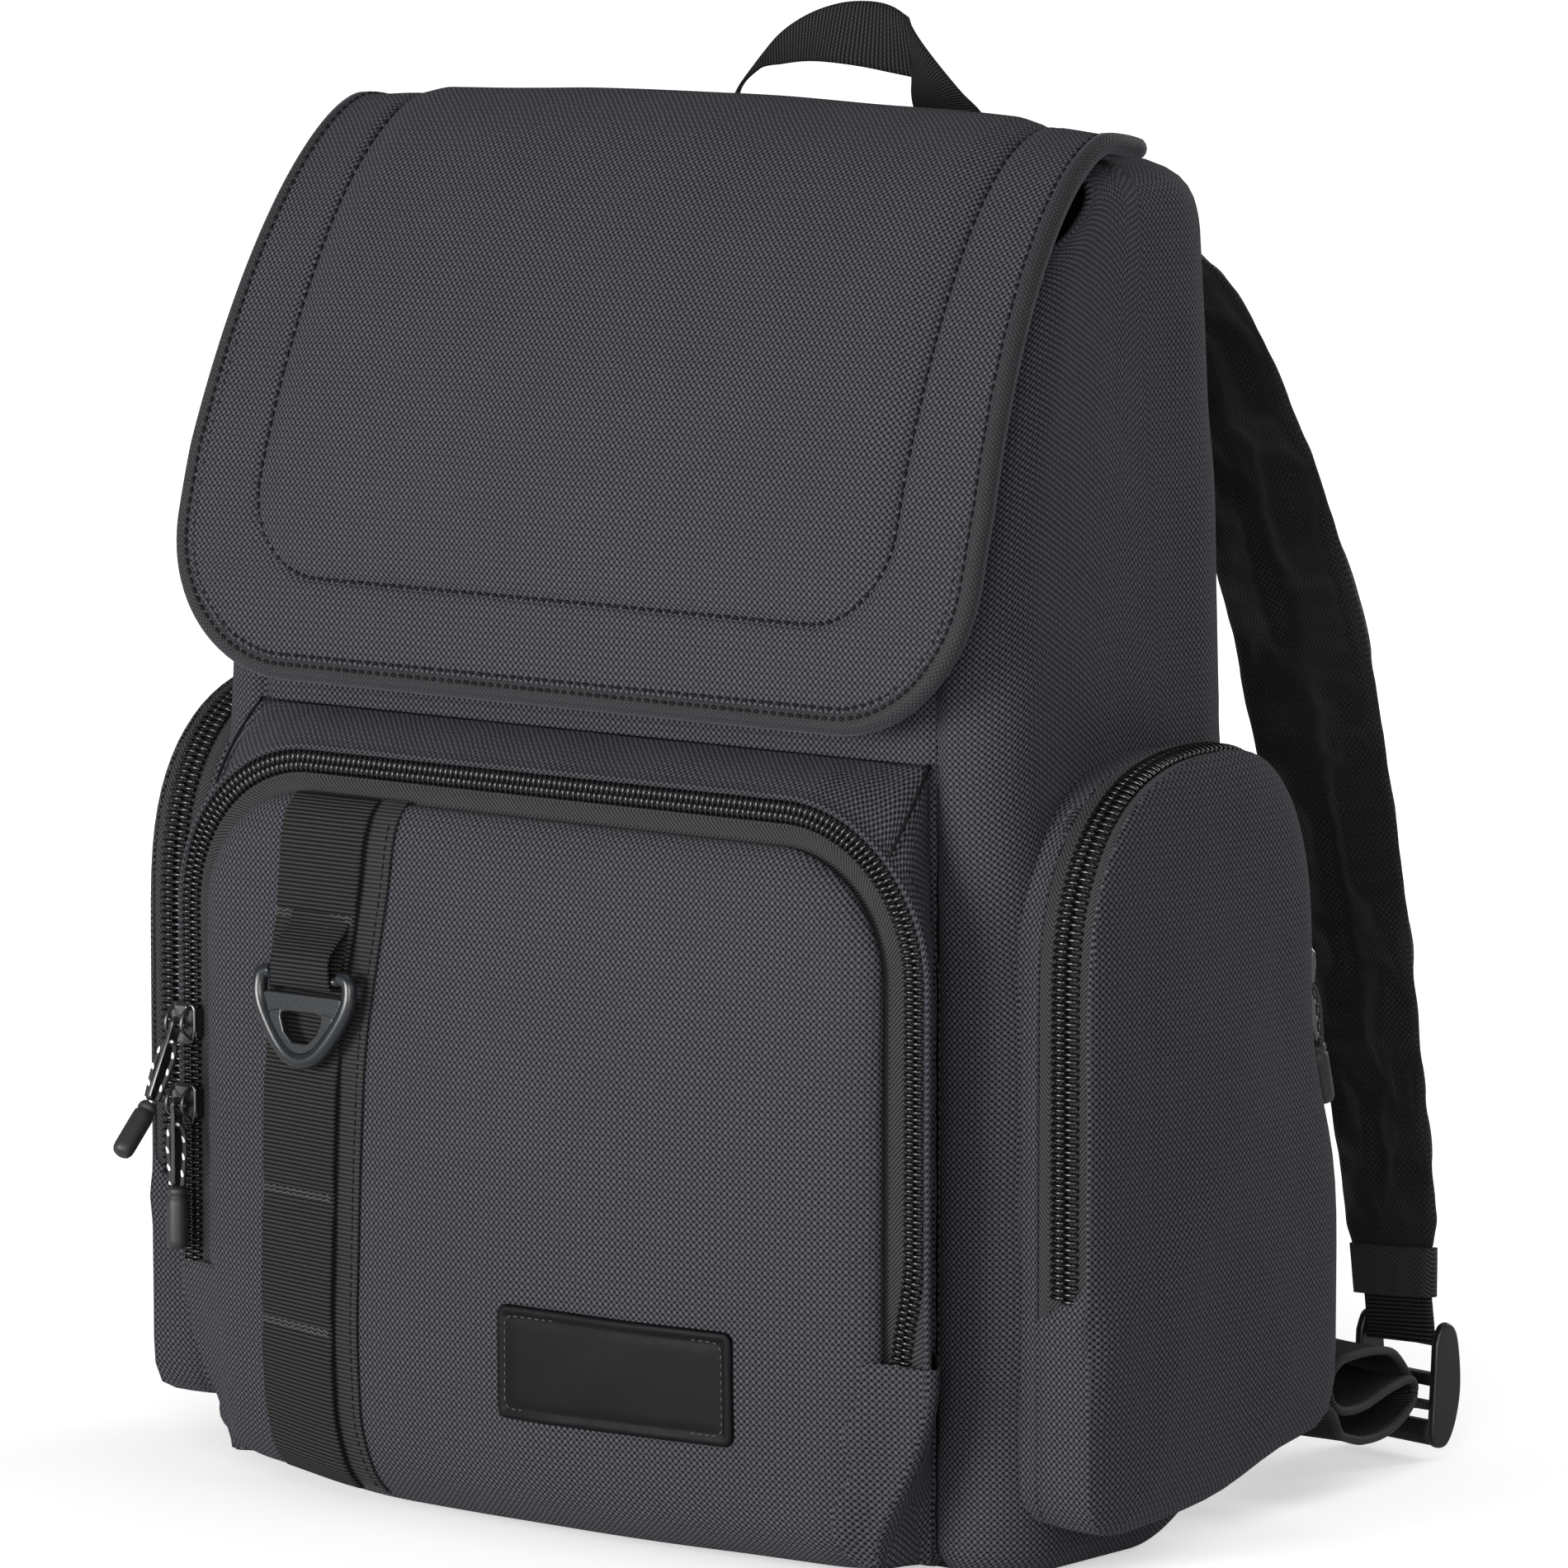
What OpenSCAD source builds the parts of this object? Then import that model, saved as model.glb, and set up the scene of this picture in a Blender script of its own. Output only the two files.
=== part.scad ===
// School backpack with a top flap: sewn panels, zipped pockets, webbing, straps and fittings.
// +Z is up, the front faces -Y, and the origin is the middle of the main bag's base.

/* [Bag] */
// Width of the main bag at the height of the flap's hem
bag_w = 318; // [280:1:350]
// Width of the main bag near the base, where it is fullest
base_w = 336; // [318:1:370]
// Depth of the main bag, front seam to back panel
bag_d = 130; // [110:1:160]
// Height of the main bag to the top of the yoke
bag_h = 430; // [400:1:470]
// Width of the front panel between its two vertical seams
front_w = 270; // [240:1:290]
// How much narrower each side is at the top than at the hem
top_taper = 10; // [4:1:16]
// Radius of the rounded back corners and of the back's top edge
back_r = 25; // [18:1:32]
// Radius of the front corners of the side panels
front_r = 22; // [16:1:26]
// Radius over the top of each side panel
side_r = 14; // [8:1:18]
// Radius round the foot of the bag
foot_r = 10; // [6:1:14]
// Thickness of a sewn panel with its lining
wall = 2.4; // [1.6:0.2:3.2]
// Gap left between two pieces that are sewn together
seam_gap = 0.3; // [0.2:0.05:0.5]

/* [Mouth] */
// Height of the front edge of the mouth
mouth_z = 392; // [370:1:405]
// How far the front panel leans back at the mouth
mouth_lean = 30; // [24:1:40]
// Height at which the front panel starts to lean
lean_z = 290; // [270:1:310]
// Width of the binding round the mouth
binding_w = 12; // [8:1:18]
// Outer radius of the eyelets at the mouth
eyelet_r = 6; // [5:0.5:8]

/* [Flap] */
// Width of the flap over its binding at the hem
flap_w = 322; // [322:1:350]
// Width of the flap over its binding at the crest
flap_top_w = 306; // [300:1:320]
// Height of the crest over the yoke
flap_rise = 8; // [7:1:14]
// Drop of the flap from its crest to its hem
flap_drop = 179; // [160:1:185]
// Reach of the flap from its crest forward to its hem
flap_reach = 87; // [85:1:100]
// Distance from the hinge seam forward to the crest
flap_setback = 17; // [12:1:24]
// Distance from the bag's middle back to the hinge seam
hinge_y = 19; // [14:1:24]
// Thickness of the padded flap
flap_t = 5; // [4:0.5:6]
// Crown of the flap across its width
flap_crown = 5; // [2:1:8]
// Radius of the hem's corners
flap_corner = 50; // [40:1:60]
// Thickness of the rolled binding
flap_roll = 5; // [4:0.5:6]
// Diameter of each magnetic snap
snap_d = 18; // [14:1:20]

/* [Handle] */
// Width of the handle's webbing
webbing_w = 25; // [20:1:30]
// Thickness of the webbing
webbing_t = 2; // [1.4:0.2:2.6]
// Distance between the middles of the handle's legs
handle_w = 84; // [76:1:100]
// Height of the handle's top over its hinge
handle_h = 70; // [60:1:80]
// Lean of the handle from upright, at rest
handle_lean = 16; // [12:1:24]

/* [Front pocket] */
// Width of the front pocket between its zipper's vertical runs
pocket_w = 292; // [270:1:300]
// Height of the zipper's top run
pocket_top = 235; // [225:1:240]
// Radius of the zipper's corners
pocket_r = 50; // [40:1:60]
// Depth of the gusset, bag to zipper
gusset_d = 22; // [16:1:30]
// Depth of the panel's rim in front of the zipper
pocket_rim = 7; // [5:1:12]
// Crown of the pocket's panel
pocket_crown = 13; // [6:1:16]
// Height of the foot of the zipper
zip_foot = 70; // [60:1:90]
// Width of the coil
coil_w = 7; // [5:0.5:8]
// Height of the coil over its tape
coil_h = 2.2; // [1.6:0.2:3]
// Width of the tape that shows inside the coil
tape_w = 4.5; // [3:0.5:8]

/* [Side pockets] */
// How far a side pocket stands out of the bag's side
side_d = 24; // [18:1:32]
// Height of the top of a side pocket
side_top = 250; // [235:1:255]
// Distance from the bag's middle forward to the front gusset
side_front = 57; // [50:1:58]
// Distance from the bag's middle back to the rear gusset
side_rear = 55; // [48:1:60]
// Width of the side coils
side_coil_w = 11; // [8:0.5:12]

/* [Webbing and label] */
// Width of the front webbing strip
daisy_w = 34; // [28:1:38]
// Middle of the front webbing strip, left of the bag's middle
daisy_x = -84; // [-92:1:-76]
// Width of the ribbed backing that shows beside the strip
backing_w = 10; // [6:1:14]
// Height of the D-ring's hinge bar
ring_z = 170; // [150:1:180]
// Width of the D-ring
ring_w = 41; // [38:1:46]
// Length of the D-ring
ring_h = 36; // [30:1:40]
// Width of the label patch
label_w = 86; // [70:1:95]
// Height of the label patch
label_h = 36; // [30:1:40]

/* [Straps] */
// Width of the padded shoulder strap
strap_w = 62; // [54:1:68]
// Thickness of the padded strap
strap_t = 11; // [8:1:14]
// Width of the strap's narrow end
strap_end_w = 40; // [34:1:44]
// Distance of the strap's top anchor from the bag's middle
strap_x = 60; // [56:1:68]
// Width of the webbing under the strap
strap_web_w = 30; // [25:1:32]
// Length of the ladder lock
lock_h = 40; // [36:1:44]

/* [Hidden] */

// Places worked out from the sizes above
front_y = -bag_d / 2;
back_y = bag_d / 2;
flare_low = 170;
flare_high = 260;
crest_y = hinge_y - flap_setback;
crest_z = bag_h + flap_rise;
hem_z = crest_z - flap_drop;
hinge_z = bag_h + seam_gap + flap_t / 2;
tape_t = 1.2;
strip_t = 1.6;
zip_y = front_y - gusset_d;
rim_y = zip_y - tape_t / 2 - seam_gap - wall;
panel_inset = coil_w / 2 + tape_w;
pocket_half = pocket_w / 2 - pocket_r;
zip_corner_z = pocket_top - pocket_r;
panel_r = pocket_r - panel_inset;

function mix(a, b, t) = a + (b - a) * t;
function clamp01(t) = max(0, min(1, t));
function smooth(t) = let (u = clamp01(t)) u * u * (3 - 2 * u);
function unit(v) = v / norm(v);
// Set-back of a quarter round of radius r, from t = 0 at its start to t = 1 at its end
function round_in(t, r) = r * (1 - sqrt(max(0, 1 - pow(clamp01(t), 2))));
function power_cos(a, n) = sign(cos(a)) * pow(abs(cos(a)), 2 / n);
function power_sin(a, n) = sign(sin(a)) * pow(abs(sin(a)), 2 / n);

// Side faces between neighbouring rings of n points
function ring_sides(m, n) = [
    for (i = [0 : m - 2], j = [0 : n - 1])
        let (k = i + 1, l = (j + 1) % n)
        each [[i * n + j, k * n + j, k * n + l], [i * n + j, k * n + l, i * n + l]]
];
function middle(ring) = [for (i = [0 : 2]) [for (p = ring) 1] * [for (p = ring) p[i]] / len(ring)];

// Closed solid through a list of rings, each with the same number of points, its ends fanned from their middles
module loft(rings) {
    n = len(rings[0]);
    m = len(rings);
    ends = [
        for (j = [0 : n - 1])
            let (l = (j + 1) % n)
            each [[m * n, j, l], [m * n + 1, (m - 1) * n + l, (m - 1) * n + j]]
    ];
    polyhedron(
        points = concat([for (r = rings) each r], [middle(rings[0]), middle(rings[m - 1])]),
        faces = concat(ring_sides(m, n), ends),
        convexity = 8
    );
}

// Outward normal of a grid whose columns run to the right and whose rows run up, seen from outside
function grid_normal(g, i, j) =
    let (
        low = g[max(i - 1, 0)][j], high = g[min(i + 1, len(g) - 1)][j],
        left = g[i][max(j - 1, 0)], right = g[i][min(j + 1, len(g[0]) - 1)]
    )
    unit(cross(right - left, high - low));

// Grid moved along its own normals
function shifted(g, d) =
    [for (i = [0 : len(g) - 1]) [for (j = [0 : len(g[0]) - 1]) g[i][j] + d * grid_normal(g, i, j)]];

// Panel of thickness t behind a grid of points on its outer face
module sheet(g, t) {
    skin(g, shifted(g, -t));
}

// Closed skin between an outer grid and the matching inner one
module skin(g, back) {
    c = len(g[0]);
    m = len(g);
    n = 2 * c;
    last = (m - 1) * n;
    ends = [
        for (j = [0 : c - 2])
            let (q = n - 1 - j)
            each [
                [j, j + 1, q - 1], [j, q - 1, q],
                [last + j, last + q - 1, last + j + 1], [last + j, last + q, last + q - 1]
            ]
    ];
    polyhedron(
        points = [for (i = [0 : m - 1]) each concat(g[i], [for (j = [c - 1 : -1 : 0]) back[i][j]])],
        faces = concat(ring_sides(m, n), ends),
        convexity = 8
    );
}

function tangent(p, i) = unit(p[min(i + 1, len(p) - 1)] - p[max(i - 1, 0)]);

// Strip along a path: across it from w0 to w1, and along its facing normals from t0 to t1
module strip(p, normals, w0, w1, t0, t1) {
    loft([
        for (i = [0 : len(p) - 1])
            let (n = normals[i], b = unit(cross(n, tangent(p, i))))
            [p[i] + w0 * b + t0 * n, p[i] + w1 * b + t0 * n, p[i] + w1 * b + t1 * n, p[i] + w0 * b + t1 * n]
    ]);
}

// Round tube along a path, with sides that don't twist about the steady direction up
module tube(p, r, up, sides = 8) {
    loft([
        for (i = [0 : len(p) - 1])
            let (t = tangent(p, i), u = unit(cross(up, t)), v = cross(t, u))
            [for (k = [0 : sides - 1]) p[i] + r * (cos(k * 360 / sides) * u + sin(k * 360 / sides) * v)]
    ]);
}

// Main bag: half width, front and back at a height, and the outline of one side in plan
function half_w(z) =
    mix(base_w, bag_w, smooth((z - flare_low) / (flare_high - flare_low))) / 2
    - top_taper * clamp01((z - flare_high) / (bag_h - flare_high))
    - round_in((z - bag_h + side_r) / side_r, side_r)
    - round_in((foot_r - z) / foot_r, foot_r);
function front_at(z) =
    front_y + mouth_lean * pow(max(0, (z - lean_z) / (mouth_z - lean_z)), 1.4)
    + round_in((foot_r - z) / foot_r, foot_r);
function back_at(z) =
    back_y - round_in((z - bag_h + back_r) / back_r, back_r) - round_in((foot_r - z) / foot_r, foot_r);
function mouth_at(y) =
    mouth_z + (y - front_at(mouth_z)) * (bag_h - 2 - mouth_z) / (hinge_y - front_at(mouth_z));
function side_outline(z, in = 0) =
    let (
        w = half_w(z) - in, f = front_at(z) + in, b = back_at(z) - in,
        rf = min(front_r, half_w(z) - front_w / 2 - seam_gap) - in, rb = back_r - in,
        seam = front_w / 2 + seam_gap / 2
    )
    concat(
        [[seam, f]],
        [for (a = [-90 : 22.5 : 0]) [w - rf + rf * cos(a), f + rf + rf * sin(a)]],
        [[w, mix(f + rf, hinge_y, 0.5)], [w, min(hinge_y, b - rb - 1)]],
        [for (a = [0 : 22.5 : 90]) [w - rb + rb * cos(a), b - rb + rb * sin(a)]]
    );
hinge_column = 7;
low_rows = [0.5, 3, 6, foot_r, 60, 120, flare_low, 200, 230, flare_high, lean_z];
top_steps = [0.25, 0.5, 0.7, 0.82, 0.9, 0.95, 0.98, 0.995, 1];
function rows_to(top) = concat(low_rows, [for (s = top_steps) mix(lean_z, top, s)]);

module side_panel() {
    tops = [
        for (j = [0 : len(side_outline(mouth_z)) - 1])
            j < hinge_column ? mouth_at(side_outline(mouth_z)[j][1]) : bag_h
    ];
    sheet([
        for (i = [0 : len(rows_to(bag_h)) - 1])
            [for (j = [0 : len(tops) - 1]) let (z = rows_to(tops[j])[i], p = side_outline(z)[j]) [p[0], p[1], z]]
    ], wall);
}

// Solid of the whole main bag, grown by a clearance, for trimming what is sewn on it
module bag_block(grow) {
    loft([
        for (z = low_rows)
            let (half = side_outline(z, -grow))
            concat(
                [for (p = half) [p[0], p[1], z]],
                [for (j = [len(half) - 1 : -1 : 0]) [-half[j][0], half[j][1], z]]
            )
    ]);
}

module eyelet_places() {
    z = mouth_z - binding_w - eyelet_r - 2;
    lean = atan(front_at(z + 1) - front_at(z));
    for (x = [-110, -40, 40, 110])
        translate([x, front_at(z), z])
            rotate([90 - lean, 0, 0])
                children();
}

module front_panel() {
    color([0.22, 0.22, 0.25]) difference() {
        sheet([
            for (z = rows_to(mouth_z))
                [for (u = [-1 : 0.25 : 1]) [u * (front_w - seam_gap) / 2, front_at(z), z]]
        ], wall);
        eyelet_places() cylinder(r = eyelet_r - 2, h = 20, center = true, $fn = 24);
    }
}

module side_panel_left() {
    color([0.22, 0.22, 0.25]) mirror([1, 0, 0]) side_panel();
}

module side_panel_right() {
    color([0.22, 0.22, 0.25]) side_panel();
}

module back_panel() {
    color([0.16, 0.16, 0.18]) sheet([
        for (z = rows_to(bag_h))
            let (w = half_w(z) - back_r - 1)
            [for (u = [1 : -0.25 : -1]) [u * w, back_at(z), z]]
    ], wall);
}

back_inner = back_y - wall - seam_gap;
foam_t = 6;

module back_foam() {
    color([0.5, 0.5, 0.5])
        translate([-100, back_inner - foam_t, 24])
            cube([200, foam_t, 366]);
}

// Rounded block standing on the back panel, narrower at its outer face
module pad(x0, x1, z0, z1, t, r) {
    hull() {
        for (x = [x0 + r, x1 - r], z = [z0 + r, z1 - r])
            translate([x, back_y + seam_gap, z])
                rotate([-90, 0, 0]) {
                    cylinder(r = r, h = t * 0.5, $fn = 32);
                    cylinder(r = r - t * 0.5, h = t, $fn = 32);
                }
    }
}

pad_t = 10;

module back_mesh_pad() {
    color([0.1, 0.1, 0.11]) {
        pad(-112, -14, 150, 372, pad_t, 16);
        pad(14, 112, 150, 372, pad_t, 16);
        pad(-118, 118, 44, 142, pad_t, 20);
    }
}

module top_yoke() {
    in = wall + 0.8;
    w = half_w(bag_h) - in;
    b = back_at(bag_h) - in;
    r = back_r - in;
    color([0.22, 0.22, 0.25])
        translate([0, 0, bag_h - wall])
            linear_extrude(wall)
                polygon(concat(
                    [[-w, hinge_y - 6], [w, hinge_y - 6]],
                    [for (a = [0 : 15 : 90]) [w - r + r * cos(a), b - r + r * sin(a)]],
                    [for (a = [90 : 15 : 180]) [-w + r + r * cos(a), b - r + r * sin(a)]]
                ));
}

base_in = foot_r - 0.6;

module base_plate(in, h) {
    w = base_w / 2 - in;
    d = bag_d / 2 - in;
    r = back_r - 5;
    linear_extrude(h)
        polygon([
            for (c = [[1, 1, 0], [-1, 1, 90], [-1, -1, 180], [1, -1, 270]], a = [0 : 22.5 : 90])
                [c[0] * (w - r) + r * cos(a + c[2]), c[1] * (d - r) + r * sin(a + c[2])]
        ]);
}

module base_panel() {
    color([0.12, 0.12, 0.13]) base_plate(base_in, wall);
}

module base_board() {
    color([0.3, 0.3, 0.3]) translate([0, 0, wall + seam_gap]) base_plate(base_in + 4, board_t);
}

// Point on the inside of the mouth, a height below its edge
function mouth_point(j, below) =
    let (y = side_outline(mouth_z)[j][1], z = mouth_at(y) - 1 - below, p = side_outline(z, wall + 1)[j])
    [p[0], p[1], z];

module mouth_binding() {
    half = [for (j = [0 : hinge_column - 1]) j];
    color([0.1, 0.1, 0.11]) sheet([
        for (below = [binding_w, binding_w / 2, 0])
            concat(
                [for (j = [len(half) - 1 : -1 : 0]) let (p = mouth_point(j, below)) [-p[0], p[1], p[2]]],
                [for (j = half) mouth_point(j, below)]
            )
    ], tape_t);
}

module mouth_eyelets() {
    color([0.3, 0.3, 0.32]) eyelet_places()
        rotate_extrude($fn = 32)
            polygon([
                [eyelet_r - 3.2, -wall - 1.2], [eyelet_r, -wall - 1.2], [eyelet_r, -wall - seam_gap],
                [eyelet_r - 2.3, -wall - seam_gap], [eyelet_r - 2.3, seam_gap], [eyelet_r, seam_gap],
                [eyelet_r, 1.4], [eyelet_r - 3.2, 1.4]
            ]);
}

board_t = 2;
sleeve_h = 285;
sleeve_t = 4;
sleeve_gap = 24;

module laptop_sleeve() {
    y = back_inner - foam_t - seam_gap;
    color([0.2, 0.2, 0.22]) translate([0, 0, wall + board_t + 2 * seam_gap]) linear_extrude(sleeve_h)
        difference() {
            translate([-128, y - sleeve_gap - sleeve_t]) square([256, sleeve_gap + sleeve_t]);
            translate([-124, y - sleeve_gap]) square([248, sleeve_gap + 1]);
        }
}

// Front pocket: half width of the panel at a height, distance in from its edge, and its outer face
function panel_half(z) =
    pocket_half + sqrt(max(0, pow(panel_r, 2) - pow(max(0, z - zip_corner_z), 2)))
    - 9 * smooth((zip_foot - z) / zip_foot);
function edge_in(x, z) =
    z < zip_corner_z
        ? max(0, panel_half(z) - abs(x))
        : max(0, panel_r - norm([max(abs(x) - pocket_half, 0), z - zip_corner_z]));
function face_at(x, z) =
    let (e = min(1, edge_in(x, z) / 16), span = max(panel_half(z), 1))
    rim_y - pocket_rim * sqrt(1 - pow(1 - e, 2))
    - pocket_crown * pow(1 - pow(clamp01(abs(x) / span), 2), 1.5)
    * smooth((zip_corner_z + panel_r - z) / 90) * smooth((z + 25) / 60);
panel_foot = 3;
roll_r = 14;
function row_x(half) =
    let (ins = concat([0, 1.5, 5, 10, 17, 30], [for (k = [1 : 5]) mix(30, half, k / 6)]))
    concat([for (d = ins) d - half], [0], [for (i = [len(ins) - 1 : -1 : 0]) half - ins[i]]);

module pocket_panel() {
    roll = [90, 67.5, 45, 22.5];
    zs = concat(
        [panel_foot + roll_r, 30, 50, 70, 90, 110, 130, 150, 168],
        [for (a = [0 : 15 : 90]) zip_corner_z + panel_r * sin(a)]
    );
    outer = concat(
        [[for (x = row_x(panel_half(panel_foot))) [x, front_y - 7, panel_foot]]],
        [
            for (a = roll)
                let (z = panel_foot + roll_r * (1 - sin(a)))
                [for (x = row_x(panel_half(z))) [x, face_at(x, z) + roll_r * (1 - cos(a)), z]]
        ],
        [for (z = zs) [for (x = row_x(panel_half(z))) [x, face_at(x, z), z]]]
    );
    turn = concat([90], roll, [for (z = zs) 0]);
    inner = [
        for (i = [0 : len(outer) - 1])
            [
                for (p = outer[i])
                    [
                        p[0] * (1 - wall / (pocket_half + panel_r)),
                        p[1] + wall * cos(turn[i]),
                        p[2] + wall * (sin(turn[i]) - clamp01((p[2] - zip_corner_z) / panel_r))
                    ]
            ]
    ];
    color([0.22, 0.22, 0.25]) skin(outer, inner);
}

// Path of the zipper from its right foot over the top to its left foot
zip_path = concat(
    [for (z = [zip_foot : (zip_corner_z - zip_foot) / 4 : zip_corner_z - 1]) [pocket_w / 2, zip_y, z]],
    [
        for (a = [0 : 11.25 : 90])
            [pocket_half + pocket_r * cos(a), zip_y, zip_corner_z + pocket_r * sin(a)]
    ],
    [[0, zip_y, pocket_top]],
    [
        for (a = [90 : 11.25 : 180])
            [-pocket_half + pocket_r * cos(a), zip_y, zip_corner_z + pocket_r * sin(a)]
    ],
    [
        for (k = [1 : 4])
            [-pocket_w / 2, zip_y, zip_corner_z - k * (zip_corner_z - zip_foot) / 4]
    ]
);
zip_facing = [for (p = zip_path) [0, -1, 0]];

module pocket_zip_tape() {
    color([0.14, 0.14, 0.15])
        strip(zip_path, zip_facing, -coil_w / 2 - 0.5, panel_inset + 3, -tape_t / 2, tape_t / 2);
}

module pocket_zip_coil() {
    low = tape_t / 2 + seam_gap;
    color([0.08, 0.08, 0.08])
        strip(zip_path, zip_facing, -coil_w / 2, coil_w / 2, low, low + coil_h);
}

gusset_edge = coil_w / 2 + 2 + wall;

module pocket_gusset() {
    seam_x = front_w / 2 - 1;
    seam_z = side_top;
    low = [for (z = [4, 18, 34, 48, 58, 68, 95, 125, 155]) z];
    corner = [for (a = [0 : 11.25 : 90]) a];
    right_seam = concat(
        [for (z = low) [seam_x, z]],
        [
            for (a = corner)
                a < 45
                    ? [seam_x, mix(zip_corner_z, seam_z, a / 45)]
                    : [mix(seam_x, pocket_half, (a - 45) / 45), seam_z]
        ]
    );
    right_edge = concat(
        [
            for (z = low)
                [mix(panel_half(z) + wall + 0.6, pocket_w / 2 + gusset_edge, smooth((z - 46) / (zip_foot - 48))), z]
        ],
        [
            for (a = corner)
                let (r = pocket_r + gusset_edge)
                [pocket_half + r * cos(a), zip_corner_z + r * sin(a)]
        ]
    );
    seam = both_sides(right_seam);
    edge = both_sides(right_edge);
    color([0.2, 0.2, 0.23]) sheet([
        for (t = [0, 0.5, 1])
            [
                for (j = [0 : len(seam) - 1])
                    let (
                        p = mix(seam[j], edge[j], t),
                        out = unit(edge[j] - [0, 120]) * 1.5 * (1 - pow(2 * t - 1, 2))
                    )
                    [p[0] + out[0], mix(front_y - seam_gap - 1.1, zip_y, t), p[1] + out[1]]
            ]
    ], wall);
}
function both_sides(half) = concat(half, [for (j = [len(half) - 1 : -1 : 0]) [-half[j][0], half[j][1]]]);

// Side pockets: closed outline across the bag's depth at a distance from the bag's middle
side_mid = 10;
side_face = base_w / 2 + side_d;
side_coil_x = side_face - side_coil_w / 2 - 6;
side_foot_z = 80;
side_steps = [[-40, 0], [-5, 0], [-1.5, 2], [0, 6], [2.2, 22]];
side_corner_z = side_top - 70;
side_n = 2.4;
function side_rear_at(z) = side_rear + 14 * smooth((side_corner_z - 15 - z) / 60);
function side_ring(x, in) =
    let (rz = side_top - side_corner_z - in, rf = side_front + side_mid - in, rr = side_rear - side_mid - in)
    concat(
        [
            for (y = [-side_front + in, -30, 0, 30, side_rear_at(20) - in])
                [x, y, 16 + in * 0.6 + 0.0011 * pow(min(y, 40) + 60, 2)]
        ],
        [for (z = [50, 80, 100, 120, 135, 150, 165]) [x, side_rear_at(z) - in, z]],
        [
            for (a = [0 : 10 : 180])
                [
                    x,
                    side_mid + (cos(a) > 0 ? rr : rf) * power_cos(a, side_n),
                    side_corner_z + rz * power_sin(a, side_n)
                ]
        ],
        [for (z = [150, 120, 80, 50, 30]) [x, -side_front + in, z]]
    );

module side_pocket() {
    difference() {
        loft([for (k = side_steps) side_ring(side_face + k[0], k[1])]);
        loft([for (k = side_steps) side_ring(side_face + k[0] - wall, k[1] + wall)]);
        bag_block(seam_gap);
    }
}

module side_pocket_left() {
    color([0.2, 0.2, 0.23]) mirror([1, 0, 0]) side_pocket();
}

module side_pocket_right() {
    color([0.2, 0.2, 0.23]) side_pocket();
}

// Path of a side zipper in the plane of its coil, off the pocket by a distance
function side_path(off) =
    let (rz = side_top - side_corner_z + off, rf = side_front + side_mid + off, rr = side_rear - side_mid + off)
    concat(
        [for (z = [side_foot_z, 110, 145]) [side_coil_x, -side_front - off, z]],
        [
            for (a = [180 : -10 : 0])
                [
                    side_coil_x,
                    side_mid + (cos(a) > 0 ? rr : rf) * power_cos(a, side_n),
                    side_corner_z + rz * power_sin(a, side_n)
                ]
        ],
        [[side_coil_x, side_rear + off, side_corner_z - 15]]
    );
function side_facing(p) = [for (i = [0 : len(p) - 1]) let (t = tangent(p, i)) [0, -t[2], t[1]]];

module side_strip(w0, w1, low, high) {
    p = side_path(seam_gap);
    both() strip(p, side_facing(p), w0, w1, low, high);
}

module both() {
    children();
    mirror([1, 0, 0]) children();
}

module side_zip_tapes() {
    color([0.14, 0.14, 0.15]) side_strip(-side_coil_w / 2 - 0.5, side_coil_w / 2 + 5, 0, tape_t);
}

module side_zip_coils() {
    low = tape_t + seam_gap;
    color([0.08, 0.08, 0.08]) side_strip(-side_coil_w / 2, side_coil_w / 2, low, low + coil_h);
}

// Strip that follows the pocket's face, lifted off it
module on_face(x0, x1, z0, z1, lift, t) {
    sheet([
        for (a = [0 : 9 : 90])
            let (z = mix(z0, z1, sin(a)))
            [for (u = [0 : 0.125 : 1]) let (x = mix(x0, x1, u)) [x, face_at(x, z) - lift - t, z]]
    ], t);
}

daisy_foot = 18;
daisy_top = zip_corner_z + panel_r - 8;
backing_lift = 1.0;
daisy_lift = backing_lift + strip_t + 0.5;

module daisy_backing() {
    x0 = daisy_x - daisy_w / 2;
    color([0.14, 0.14, 0.15])
        on_face(x0, x0 + daisy_w + backing_w, daisy_foot, daisy_top, backing_lift, strip_t);
}

module daisy_webbing() {
    x0 = daisy_x - daisy_w / 2;
    color([0.16, 0.16, 0.17]) on_face(x0, x0 + daisy_w, daisy_foot, daisy_top, daisy_lift, webbing_t);
}

// D-ring in its webbing loop
ring_x = daisy_x + 6.5;
bar_r = 1.6;
run_gap = 0.3;
loop_t = 1.2;
loop_w = 24;
ring_rest = 5;
ring_y =
    face_at(ring_x + 8, ring_z) - daisy_lift - webbing_t - seam_gap - loop_t - run_gap - bar_r;

module ring_loop() {
    r = bar_r + run_gap + loop_t;
    tack = 16;
    color([0.15, 0.15, 0.16])
        translate([ring_x - loop_w / 2, ring_y, ring_z])
            rotate([90, 0, 90])
                linear_extrude(loop_w)
                    difference() {
                        union() {
                            circle(r = r, $fn = 48);
                            translate([-r, 0]) square([2 * r, tack]);
                        }
                        circle(r = r - loop_t, $fn = 48);
                        translate([loop_t - r, 0]) square([2 * (r - loop_t), tack - 4]);
                    }
}

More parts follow.
